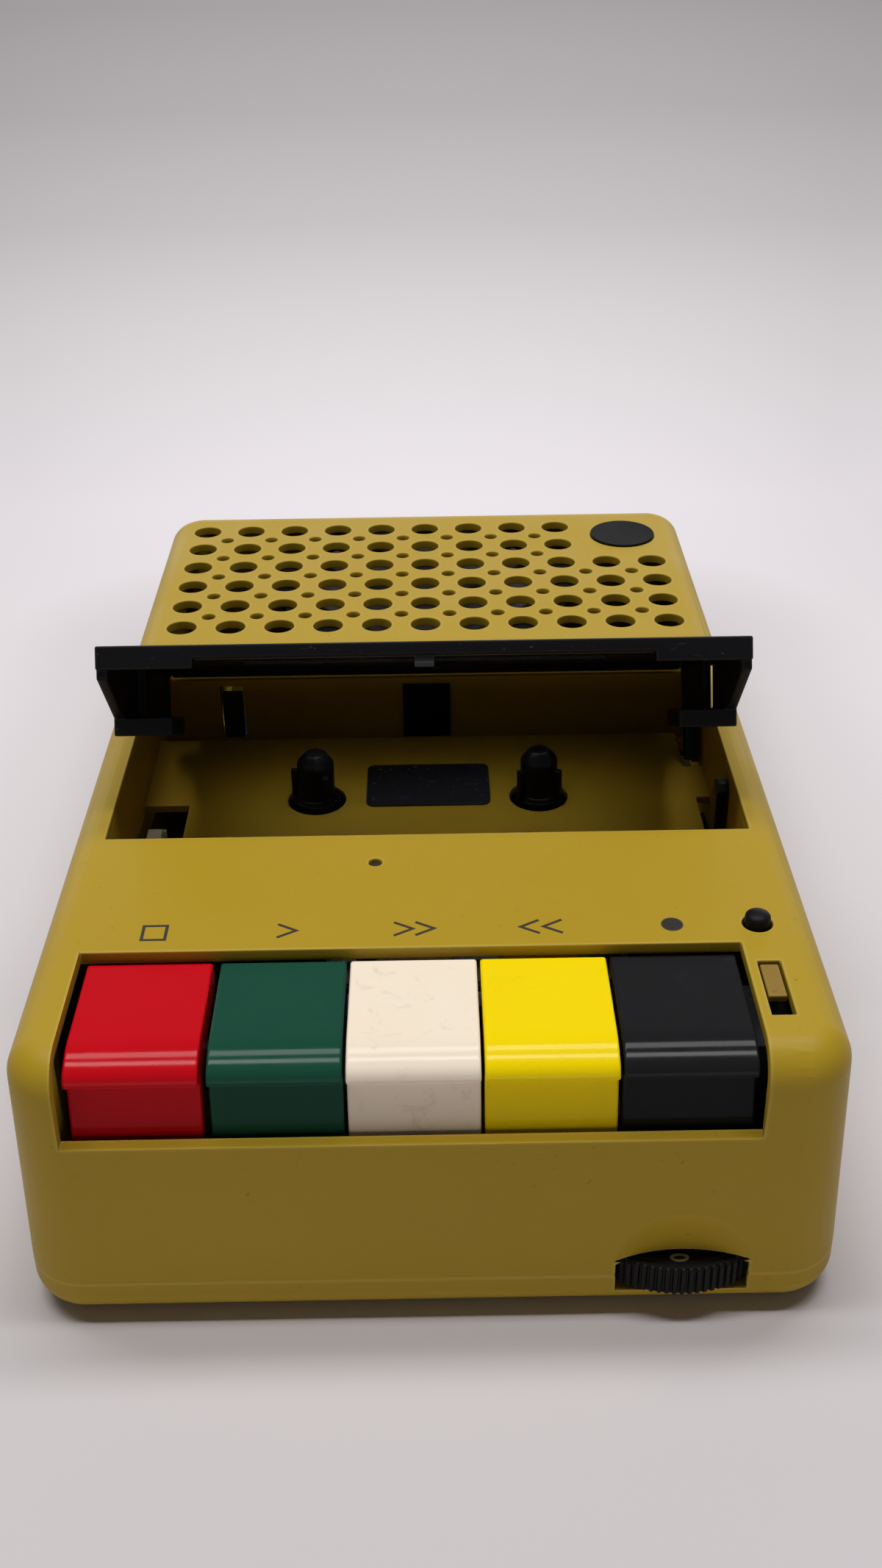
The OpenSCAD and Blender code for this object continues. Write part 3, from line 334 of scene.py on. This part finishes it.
# The zero mark is ivory paint drawn in a dim grey-olive: painted shade, as the mark lies in shade.
shaded_chalk = dyed("paint ivory filled mark", "#8F8A74", "#7E7964", 0.5, 0.6)
acrylic, tree, shader, place = new_finish("acrylic clear window")
haze = add(tree, "TexNoise", {"Vector": place, "Scale": per_mm(12), "Detail": 5})
film = add(tree, "MapRange", {"Value": haze.outputs["Fac"], "To Min": 0.02, "To Max": 0.16})
tree.links.new(film.outputs["Result"], shader.inputs["Roughness"])
shader.inputs["Base Color"].default_value = linear("#D9DEE0")
shader.inputs["Transmission Weight"].default_value = 0.9
shader.inputs["IOR"].default_value = 1.49
print("works finishes ready")

# %% [markdown]
# ## Finish for each slot
# The record names a material slot for each CAD node. A table from slot to finish dresses the nodes
# that keep their CAD shape, and a few nodes have a finish of their own.

# %% Dress the CAD nodes
slot_finish = {
    "case_abs": case_abs, "lid_black": lid_black, "rubber": rubber, "steel": steel, "brass": brass,
    "mirror": mirror, "clear": acrylic, "key_red": key_finish["stop_key"],
    "key_green": key_finish["play_key"], "key_ivory": key_finish["forward_key"],
    "key_yellow": key_finish["rewind_key"], "key_black": key_finish["record_key"],
    "knob_tan": knob_abs, "cell_wrap": cell_wrap, "board": board_paper, "cone_paper": cone_paper,
}
own_finish = dict(key_finish, cassette_bay=shaded_bay_abs, badge=badge_black, supply_spindle=spindle_black,
                  takeup_spindle=spindle_black, volume_wheel=wheel_black, speaker_magnet=ferrite,
                  board_components=capacitor, brake_lever=nylon, cassette_pad=spindle_black,
                  lid_lift_lever=spindle_black, push_button=lid_black, speaker_frame=frame_black,
                  safety_lever=lever_grey, lid_catch=lever_grey, slide_switch=lever_grey,
                  lid_springs=frame_black, lid_hinge_pins=frame_black)


def finish_of(name):
    return own_finish.get(name) or slot_finish[slot_of[name]]


for name, part in nodes.items():
    part.data.materials.clear()
    part.data.materials.append(finish_of(name))
print("dressed:", len(nodes))

# %% [markdown]
# ## Case corners
# Where the deck, the front and a side meet, a real mould has one smooth, ball-like corner. In the CAD
# these corners are plain crossings of three roundings. They could be sculpted, but a cutter is exact:
# it has the outline of the wall, swept round the corner. Its outline is a list of points in mm, each
# with a distance from the corner's upright axis and a height.

# %% Corner cutters
HALF_W, FRONT_Y, REAR_Y, DECK_Z = 61.8, -101.65, 103.35, 49.2
CORNER_R, PART_Z, FOOT_H, DRAFT = 9, 8.25, 1, math.radians(2)
SLACK, CUTTER_R, PAST_SEAM, PAST_FACE = 0.02, 24, 3, 4
ARC_STEPS, SWEEP_STEPS = 12, 16


def new_object(name, mesh):
    made = bpy.data.objects.new(name, mesh)
    bpy.context.scene.collection.objects.link(made)
    return made


def upper_edge(radius):
    inset = (DECK_Z - radius - PART_Z) * math.tan(DRAFT) + radius / math.cos(DRAFT)
    turns = [DRAFT + (math.pi / 2 - DRAFT) * i / ARC_STEPS for i in range(ARC_STEPS + 1)]
    curve = [(CORNER_R - inset + radius * math.cos(t), DECK_Z - radius + radius * math.sin(t))
             for t in turns]
    wall = [(CORNER_R + PAST_SEAM * math.tan(DRAFT), PART_Z - PAST_SEAM)]
    return wall + curve + [(curve[-1][0], DECK_Z + PAST_FACE), (CUTTER_R, DECK_Z + PAST_FACE),
                           (CUTTER_R, PART_Z - PAST_SEAM)]


def lower_edge(radius):
    turns = [-math.pi / 2 + math.pi / 2 * i / ARC_STEPS for i in range(ARC_STEPS + 1)]
    curve = [(CORNER_R - radius + radius * math.cos(t), FOOT_H + radius + radius * math.sin(t))
             for t in turns]
    return [(CORNER_R - radius, FOOT_H - PAST_FACE)] + curve + [
        (CORNER_R, PART_Z + PAST_SEAM), (CUTTER_R, PART_Z + PAST_SEAM), (CUTTER_R, FOOT_H - PAST_FACE)]


def one_cutter(form, centre, way_x, way_y, outlines):
    rings = []
    for i, outline in enumerate(outlines):
        turn = math.pi / 2 * i / SWEEP_STEPS
        rings.append([form.verts.new(((centre.x + way_x * (r + SLACK) * math.cos(turn)) * MM,
                                      (centre.y + way_y * (r + SLACK) * math.sin(turn)) * MM, z * MM))
                      for r, z in outline])
    count = len(rings[0])
    for one, two in zip(rings, rings[1:]):
        for k in range(count):
            form.faces.new((one[k], one[(k + 1) % count], two[(k + 1) % count], two[k]))
    form.faces.new(rings[0])
    form.faces.new(rings[-1])


def corner_cutters(edge, side_radius, front_radius):
    form = bmesh.new()
    for way_x in (-1, 1):
        for way_y, wall_y in ((-1, FRONT_Y), (1, REAR_Y)):
            centre = Vector((way_x * (HALF_W - CORNER_R), wall_y - way_y * CORNER_R))
            end_radius = front_radius if way_y < 0 else side_radius
            outlines = [edge(side_radius + (end_radius - side_radius) * i / SWEEP_STEPS)
                        for i in range(SWEEP_STEPS + 1)]
            one_cutter(form, centre, way_x, way_y, outlines)
    bmesh.ops.recalc_face_normals(form, faces=form.faces)
    mesh = bpy.data.meshes.new("corner_cutters")
    form.to_mesh(mesh)
    form.free()
    return new_object("corner_cutters", mesh)


print("points in a cutter's outline:", len(upper_edge(CORNER_R / 2)), "and", len(lower_edge(CORNER_R / 2)))

# %% [markdown]
# ## Copies of the solids
# A CAD mesh is never changed. It is copied into a bmesh, and its flat triangles are joined to whole
# faces again, because a bevel needs the real edges. A Boolean takes the corner cutters off the case.
# The finished copy rides on the solid's body and replaces the solid in the picture.

# %% Helpers for copies
def joined(name):
    form = bmesh.new()
    form.from_mesh(nodes[name].data)
    bmesh.ops.remove_doubles(form, verts=form.verts, dist=0.004 * MM)
    bmesh.ops.dissolve_limit(form, angle_limit=math.radians(0.5), verts=form.verts, edges=form.edges)
    return form


def cut_corners(form, cutters):
    mesh = bpy.data.meshes.new("block")
    form.to_mesh(mesh)
    form.free()
    block = new_object("block", mesh)
    cut = block.modifiers.new("corners", "BOOLEAN")
    cut.operation, cut.solver, cut.object = "DIFFERENCE", "EXACT", cutters
    result = bmesh.new()
    result.from_object(block, bpy.context.evaluated_depsgraph_get())
    bpy.data.objects.remove(block)
    bpy.data.objects.remove(cutters)
    return result


def dressed(name, form, finish, node):
    mesh = bpy.data.meshes.new(name)
    form.to_mesh(mesh)
    form.free()
    mesh.shade_smooth()
    mesh.set_sharp_from_angle(angle=math.radians(40))
    mesh.materials.append(finish)
    piece = new_object(name, mesh)
    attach(piece, nodes[node]["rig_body"])
    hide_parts(node)
    return piece


# %% [markdown]
# ## Eased edges
# No moulded edge is perfectly sharp. Each sharp edge gets a narrow bevel that catches the light, and
# weighted normals keep the flat faces flat. The smooth case corners are left out of the bevel, and
# so is the lower case below its seam, where the roundings already meet.

# %% Eased copies
CORNER_MARGIN, SEAM_MARGIN = 0.8, 0.05


def on_corner(edge):
    near = CORNER_R + CORNER_MARGIN
    places = [v.co / MM for v in edge.verts]
    return any(abs(p.x) > HALF_W - near and not FRONT_Y + near < p.y < REAR_Y - near for p in places)


def below_seam(edge):
    return on_corner(edge) or min(v.co.z for v in edge.verts) < (PART_Z - SEAM_MARGIN) * MM


def eased(name, form, width, segments, keep=lambda edge: False, sharp=28):
    edges = [e for e in form.edges
             if len(e.link_faces) == 2 and e.calc_face_angle(0) > math.radians(sharp) and not keep(e)]
    bmesh.ops.bevel(form, geom=edges, offset=width * MM, offset_type="OFFSET", segments=segments,
                    profile=0.5, affect="EDGES", clamp_overlap=False)
    piece = dressed(name + "_eased", form, finish_of(name), name)
    flat = piece.modifiers.new("flat faces", "WEIGHTED_NORMAL")
    flat.keep_sharp = True
    return piece


EASE = {
    "cassette_bay": 0.2, "cassette_lid": 0.3, "slide_knob": 0.25, "badge": 0.2, "cassette_pad": 0.15,
    "lid_lift_lever": 0.2, "tape_mirror": 0.06, "lid_catch": 0.1, "brake_lever": 0.2, "safety_lever": 0.2,
}
pieces = [eased(name, joined(name), width, 2) for name, width in EASE.items()]
pieces += [eased(name, joined(name), 0.45, 3) for name in key_finish]
top_half = cut_corners(joined("upper_case"), corner_cutters(upper_edge, 5.5, 6.2))
low_half = cut_corners(joined("bottom_case"), corner_cutters(lower_edge, 5, 5))
pieces.append(eased("upper_case", top_half, 0.25, 2, on_corner, 12))
pieces.append(eased("bottom_case", low_half, 0.2, 2, below_seam))
print("eased pieces:", len(pieces))

# %% [markdown]
# ## Return spring
# The keys are pushed up by the leaves of one sheet of spring steel inside the case. A real leaf bends
# with its key. This one can't, so it is drawn bent already, with room below each key for its full turn.

# %% Return spring
TIP_DROP = 2.4 * MM
spring = joined("key_return_spring")
leaf_low, leaf_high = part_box("key_return_spring")
for corner in spring.verts:
    share = (corner.co.z - leaf_low.z) / (leaf_high.z - leaf_low.z)
    corner.co.z -= TIP_DROP * share
dressed("key_return_spring_bent", spring, steel, "key_return_spring")
print("spring leaves lowered by mm:", round(TIP_DROP / MM, 1))

# %% [markdown]
# ## Turned pieces
# The spindles, the thumbwheel and the button are round about an upright axis. One function spins an
# outline of radius and height, in mm, about it. A spin tool could do that too, but here the radius may
# change with the turn, which gives the wheel its ribs and the spindles the eight flats of their tips.

# %% Helper for turned pieces
def spun(form, outline, centre, count, reach=lambda r, z, turn: r):
    turns = [2 * math.pi * i / count for i in range(count)]
    rings = [[form.verts.new(((centre[0] + reach(r, z, t) * math.cos(t)) * MM,
                              (centre[1] + reach(r, z, t) * math.sin(t)) * MM, z * MM)) for t in turns]
             for r, z in outline]
    for one, two in zip(rings, rings[1:]):
        for i in range(count):
            j = (i + 1) % count
            form.faces.new((one[i], one[j], two[j], two[i]))
    form.faces.new(rings[0][::-1])
    form.faces.new(rings[-1])


# %% [markdown]
# ## Spindles
# The hubs of a cassette sit on two spindles. Each has a wide foot below the bay's floor, a collar, a
# shaft with three fins that catch the hub, and a tip that narrows in eight flats to guide it.

# %% Spindles
FLOOR_Z, SPINDLE_Y, SPINDLE_GAP = 33.55, -5.05, 42.5
FOOT_R, FOOT_THICK, COLLAR_R, FLATS_FROM = 11, 2.8, 4.4, 8.6
FIN_IN, FIN_OUT, FIN_HALF, FIN_LOW, FIN_HIGH, FIN_EASE = 3.2, 4.65, 0.6, 1.2, 6.8, 0.15
SHAFT = ((COLLAR_R, 0.35), (4.2, 0.6), (3.85, 0.62), (3.75, 1.2), (3.5, 1.35), (3.5, 7.8), (3.42, 8.3),
         (3.25, 8.8), (2.85, 9.4), (2.35, 9.9), (2.0, 10.15), (1.8, 10.28), (1.55, 10.34))


def eight_flats(r, z, turn):
    if z < FLOOR_Z + FLATS_FROM:
        return r
    step = math.pi / 4
    return r * math.cos(step / 2) / math.cos(turn % step - step / 2)


def fin(form, centre, turn):
    out = Vector((math.cos(turn), math.sin(turn)))
    across = Vector((-out.y, out.x)) * FIN_HALF
    ends = ((FIN_IN, -1), (FIN_OUT, -1), (FIN_OUT, 1), (FIN_IN, 1))
    plan = [centre + out * d + across * s for d, s in ends]
    low, high = [[form.verts.new((p.x * MM, p.y * MM, (FLOOR_Z + up) * MM)) for p in plan]
                 for up in (FIN_LOW, FIN_HIGH)]
    faces = [form.faces.new((low[k], low[(k + 1) % 4], high[(k + 1) % 4], high[k])) for k in range(4)]
    faces += [form.faces.new(low[::-1]), form.faces.new(high)]
    edges = {e for face in faces for e in face.edges}
    bmesh.ops.bevel(form, geom=list(edges), offset=FIN_EASE * MM, segments=2, profile=0.5, affect="EDGES")


for name, x, first_fin in (("supply_spindle", -SPINDLE_GAP / 2, 60), ("takeup_spindle", SPINDLE_GAP / 2, 90)):
    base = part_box(name)[0].z / MM
    foot = [(FOOT_R, base), (FOOT_R, base + FOOT_THICK), (COLLAR_R, base + FOOT_THICK)]
    form = bmesh.new()
    spun(form, foot + [(r, FLOOR_Z + up) for r, up in SHAFT], (x, SPINDLE_Y), 48, eight_flats)
    for k in range(3):
        fin(form, Vector((x, SPINDLE_Y)), math.radians(first_fin + 120 * k))
    dressed(name + "_turned", form, finish_of(name), name)
print("spindles stand above the floor by mm:", SHAFT[-1][1])

# %% [markdown]
# ## Thumbwheel
# The volume wheel lies flat and shows its rim in a slot of the front. Its rim has fine ribs for the
# thumb, and a shallow groove runs round its top. The ribs are a change of radius with the turn.

# %% Thumbwheel
WHEEL, WHEEL_LOW, WHEEL_TOP = (37.3, -85.55), 5.5, 10.8
RIBS, RIB_DEPTH, RIB_FROM, RIB_POINTS = 94, 0.55, 17.2, 10
RIB_HALF, RIB_SLOPE = 0.32, 0.1


def ribbed(r, z, turn):
    if r < RIB_FROM:
        return r
    phase = turn * RIBS / (2 * math.pi) % 1
    rise = min(max((RIB_HALF - abs(phase - 0.5)) / RIB_SLOPE, 0), 1)
    return r - RIB_DEPTH * (1 - rise)


rim = [(17.1, WHEEL_LOW), (17.5, WHEEL_LOW + 0.15), (17.8, WHEEL_LOW + 0.5), (17.8, WHEEL_TOP - 0.5),
       (17.5, WHEEL_TOP - 0.15), (17.1, WHEEL_TOP)]
groove = [(16.5, WHEEL_TOP), (16.35, WHEEL_TOP - 0.3), (16.0, WHEEL_TOP - 0.3), (15.85, WHEEL_TOP - 0.1)]
hub_low = [(2, WHEEL_LOW - 0.3), (2, WHEEL_LOW)]
hub_top = [(3, WHEEL_TOP - 0.1), (3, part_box("volume_wheel")[1].z / MM)]
form = bmesh.new()
spun(form, hub_low + rim + groove + hub_top, WHEEL, RIBS * RIB_POINTS, ribbed)
dressed("volume_wheel_ribbed", form, wheel_black, "volume_wheel")
print("ribs on the wheel:", RIBS)

# %% [markdown]
# ## Button and microphone
# The push button has a domed cap, and a collar under the deck keeps it in. The small hole in the deck
# is for the microphone. A dark disc under it is painted shade for the deep hole.

# %% Button and microphone
BUTTON, MICROPHONE = (50.9, -68.55), (-8.6, -50.05)
stem = [(1.2, -17), (1.2, -5), (3.2, -5), (3.2, -4), (2, -4)]
cap = [(2, 1.05), (1.95, 1.35), (1.78, 1.58), (1.4, 1.8), (0.8, 1.97), (0.3, 2.02)]
form = bmesh.new()
spun(form, [(r, DECK_Z + up) for r, up in stem + cap], BUTTON, 48)
dressed("push_button_turned", form, finish_of("push_button"), "push_button")


def added(name, form, finish, body):
    bmesh.ops.recalc_face_normals(form, faces=form.faces)
    mesh = bpy.data.meshes.new(name)
    form.to_mesh(mesh)
    form.free()
    mesh.materials.append(finish)
    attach(new_object(name, mesh), body)


# Painted shade: a dark disc sits in the microphone hole so that the hole reads as deep and shaded.
form = bmesh.new()
spun(form, [(1.08, DECK_Z - 1.6), (1.08, DECK_Z - 0.8)], MICROPHONE, 24)
added("microphone_hole_shade", form, cone_paper, "case")
print("button stands above the deck by mm:", cap[-1][1])

# %% [markdown]
# ## Printed symbols
# The deck carries plain transport symbols in dark ink behind the keys. Each is a band that follows a
# line of points, mitred at its corners and 0.05 mm thick, so that it is real geometry on the deck.

# %% Helpers for symbols
def band(form, points, width, low, high, closed):
    count = len(points)
    sides = []
    for i, here in enumerate(points):
        before = points[i - 1] if closed or i else None
        after = points[(i + 1) % count] if closed or i < count - 1 else None
        ways = [(b - a).normalized() for a, b in ((before, here), (here, after)) if a and b]
        across = [Vector((-w.y, w.x)) for w in ways]
        mitre = sum(across, Vector((0, 0))).normalized()
        reach = mitre * (width / 2 / mitre.dot(across[0]))
        sides.append((here + reach, here - reach))
    rings = [[form.verts.new((p.x * MM, p.y * MM, z * MM))
              for p, z in ((a, low), (a, high), (b, high), (b, low))] for a, b in sides]
    for i in range(count if closed else count - 1):
        one, two = rings[i], rings[(i + 1) % count]
        for k in range(4):
            form.faces.new((one[k], one[(k + 1) % 4], two[(k + 1) % 4], two[k]))
    if not closed:
        form.faces.new(rings[0][::-1])
        form.faces.new(rings[-1])


def printed(name, lines, width, low, high, closed, finish, body):
    form = bmesh.new()
    for line in lines:
        band(form, [Vector(p) for p in line], width, low, high, closed)
    added(name, form, finish, body)


# %% Printed symbols
SYMBOL_Y, CHEVRON_DEEP, CHEVRON_HALF, LINE = -68.6, 2.9, 1.7, 0.5


def chevron(tip_x, way):
    tail_x = tip_x - way * CHEVRON_DEEP
    return [(tail_x, SYMBOL_Y + CHEVRON_HALF), (tip_x, SYMBOL_Y), (tail_x, SYMBOL_Y - CHEVRON_HALF)]


def oval(x, y, across, along, count=32):
    turns = [2 * math.pi * i / count for i in range(count)]
    return [(x + across * math.cos(t), y + along * math.sin(t)) for t in turns]


INK = dict(width=LINE, low=DECK_Z - 0.02, high=DECK_Z + 0.03, finish=ink, body="case")
square = [(-44.1, -70.4), (-40.5, -70.4), (-40.5, -66.8), (-44.1, -66.8)]
dot_rings = [oval(37.7, SYMBOL_Y, r, r) for r in (0.21, 0.63, 1.05, 1.47)]
printed("stop_symbol", [square], closed=True, **INK)
printed("play_symbol", [chevron(-20.4, 1)], closed=False, **INK)
printed("forward_symbol", [chevron(-2.4, 1), chevron(0.9, 1)], closed=False, **INK)
printed("rewind_symbol", [chevron(14.25, -1), chevron(17.8, -1)], closed=False, **INK)
printed("record_symbol", dot_rings, closed=True, **INK)
# The zero mark's dim colour is painted shade.
printed("wheel_zero", [oval(37.0, -100.46, 1.2, 0.58)], LINE, WHEEL_TOP - 0.12, WHEEL_TOP - 0.06, True,
        shaded_chalk, "volume_wheel")
print("line width of the symbols in mm:", LINE)

# %% [markdown]
# ## Floor
# The recorder stands on a pale sweep of paper. Close to the recorder the paper is lit and keeps the
# shadow. Farther away, what the camera, the mirrors and the window see is the slow fall of tone that a
# long paper sweep has: brightest just behind the recorder, greyer towards the back and the sides.
# That far tone is an emission which only such rays meet. It shows in the gloss of the recorder, but
# it lights none of its surfaces.

# %% Where the floor glows
def looked_at(tree):
    seen = add(tree, "LightPath")
    mirrored = add(tree, "Math", {0: seen.outputs["Is Glossy Ray"], 1: seen.outputs["Is Transmission Ray"]},
                   operation="MAXIMUM")
    looked = add(tree, "Math", {0: seen.outputs["Is Camera Ray"], 1: mirrored.outputs["Value"]},
                 operation="MAXIMUM")
    return looked.outputs["Value"]


FOOTPRINT, NEAR, FAR = (0.062, 0.125, 0), 0.004, 0.06
paper, tree, shader, place = new_finish("paper white sweep")
folded = add(tree, "VectorMath", {0: place}, operation="ABSOLUTE")
outside = add(tree, "VectorMath", {0: folded.outputs["Vector"], 1: FOOTPRINT}, operation="SUBTRACT")
beyond = add(tree, "VectorMath", {0: outside.outputs["Vector"], 1: (0, 0, 0)}, operation="MAXIMUM")
gap = add(tree, "VectorMath", {0: beyond.outputs["Vector"]}, operation="LENGTH")
far = add(tree, "MapRange", {"Value": gap.outputs["Value"], "From Min": NEAR, "From Max": FAR})
glow = add(tree, "Math", {0: far.outputs["Result"], 1: looked_at(tree)}, operation="MULTIPLY")
print("lit paper reaches past the recorder by mm:", FAR / MM)

# %% Tone of the sweep
SWEEP_FROM, SWEEP_TO, SIDE_DIM, DIMMEST = -0.2, 1.6, -2.0, 0.88
SWEEP = ((0.033, "#CEC8CA"), (0.05, "#D5CFD1"), (0.11, "#E0DADC"), (0.24, "#EEE8EC"),
         (0.353, "#DCD8D9"), (0.458, "#C8C4C5"), (0.649, "#B6B2B3"))
spread = add(tree, "SeparateXYZ", {"Vector": place})
away = add(tree, "MapRange", {"Value": spread.outputs["Y"], "From Min": SWEEP_FROM, "From Max": SWEEP_TO})
tone = add(tree, "ValToRGB", {"Fac": away.outputs["Result"]})
ramp = tone.color_ramp.elements
ramp[0].color, ramp[1].color = linear("#CAC4C6"), linear("#A8A4A5")
for at, shade in SWEEP:
    ramp.new(at).color = linear(shade)
reach = add(tree, "Math", {0: spread.outputs["Y"], 1: 0.3}, operation="ADD")
aside = add(tree, "Math", {0: spread.outputs["X"], 1: reach.outputs["Value"]}, operation="DIVIDE")
squared = add(tree, "Math", {0: aside.outputs["Value"], 1: 2.0}, operation="POWER")
rear = add(tree, "MapRange", {"Value": spread.outputs["Y"], "From Min": 0.1, "From Max": 0.25,
                              "To Max": SIDE_DIM})
dimmed = add(tree, "Math", {0: squared.outputs["Value"], 1: rear.outputs["Result"], 2: 1.0},
             operation="MULTIPLY_ADD")
held = add(tree, "Math", {0: dimmed.outputs["Value"], 1: DIMMEST}, operation="MAXIMUM")
sweep_tone = add(tree, "Emission", {"Color": tone.outputs["Color"], "Strength": held.outputs["Value"]})
print("tones along the sweep:", len(ramp))

# %% Paper floor
tooth = add(tree, "TexNoise", {"Vector": place, "Scale": per_mm(3), "Detail": 4})
lift = add(tree, "Bump", {"Height": tooth.outputs["Fac"], "Strength": 0.05, "Distance": 0.1 * MM})
tree.links.new(lift.outputs["Normal"], shader.inputs["Normal"])
shader.inputs["Base Color"].default_value = linear("#D2CDD0")
shader.inputs["Roughness"].default_value = 0.9
shader.inputs["Specular IOR Level"].default_value = 0.2
blend = add(tree, "MixShader", {0: glow.outputs["Value"], 1: shader.outputs["BSDF"],
                                2: sweep_tone.outputs["Emission"]})
tree.links.new(blend.outputs["Shader"], tree.nodes["Material Output"].inputs["Surface"])
HALF_FLOOR = 4
sheet = bpy.data.meshes.new("floor")
sheet.from_pydata([(x * HALF_FLOOR, y * HALF_FLOOR, 0) for x, y in ((-1, -1), (1, -1), (1, 1), (-1, 1))],
                  [], [(0, 1, 2, 3)])
sheet.materials.append(paper)
new_object("floor", sheet)
print("floor side in m:", 2 * HALF_FLOOR)

# %% [markdown]
# ## Light
# Two narrow strips overhead, one above the keys and one farther back, draw the two bright lines along
# the keys' noses and leave the front in shade. A low card in front and a panel at the back fill the
# shade a little. Big soft boxes would be easier, but they blur those two lines into one broad sheen.

# %% Light
def soft_box(name, at, aim, size, watts):
    lamp = bpy.data.lights.new(name, "AREA")
    lamp.shape = "RECTANGLE"
    lamp.size, lamp.size_y = size
    lamp.energy = watts
    box = bpy.data.objects.new(name, lamp)
    box.location = at
    box.rotation_euler = (Vector(aim) - Vector(at)).to_track_quat("-Z", "Y").to_euler()
    bpy.context.scene.collection.objects.link(box)


soft_box("overhead strip", (-0.02, -0.085, 0.99), (-0.02, -0.085, 0), (1.0, 0.1), 4.9)
soft_box("rear strip", (-0.02, 0.16, 0.95), (0, -0.05, 0.04), (1.0, 0.15), 5.0)
soft_box("front card", (-0.05, -0.55, 0.06), (0, -0.1, 0.03), (1.0, 0.12), 0.33)
soft_box("back panel", (0, 1.2, 0.3), (0, 0.0, 0.1), (2.4, 0.5), 4.0)
print("lamps:", len(bpy.data.lights))

# %% [markdown]
# ## Room
# The room gives a faint warm light from all round, as pale walls far away would. A camera or a mirror
# that looks past the edge of the floor sees a plain pale wall instead of that faint light.

# %% Room
world = bpy.data.worlds.new("studio")
world.use_nodes = True
tree = world.node_tree
sky = tree.nodes["Background"]
sky.inputs["Color"].default_value = linear("#E8D8C0")
sky.inputs["Strength"].default_value = 0.06
backdrop = add(tree, "Background", {"Color": linear("#B0ACAD"), "Strength": 1.0})
blend = add(tree, "MixShader", {0: looked_at(tree), 1: sky.outputs["Background"],
                                2: backdrop.outputs["Background"]})
tree.links.new(blend.outputs["Shader"], tree.nodes["World Output"].inputs["Surface"])
bpy.context.scene.world = world
bpy.context.scene.view_settings.view_transform = "Standard"
print("room ready")
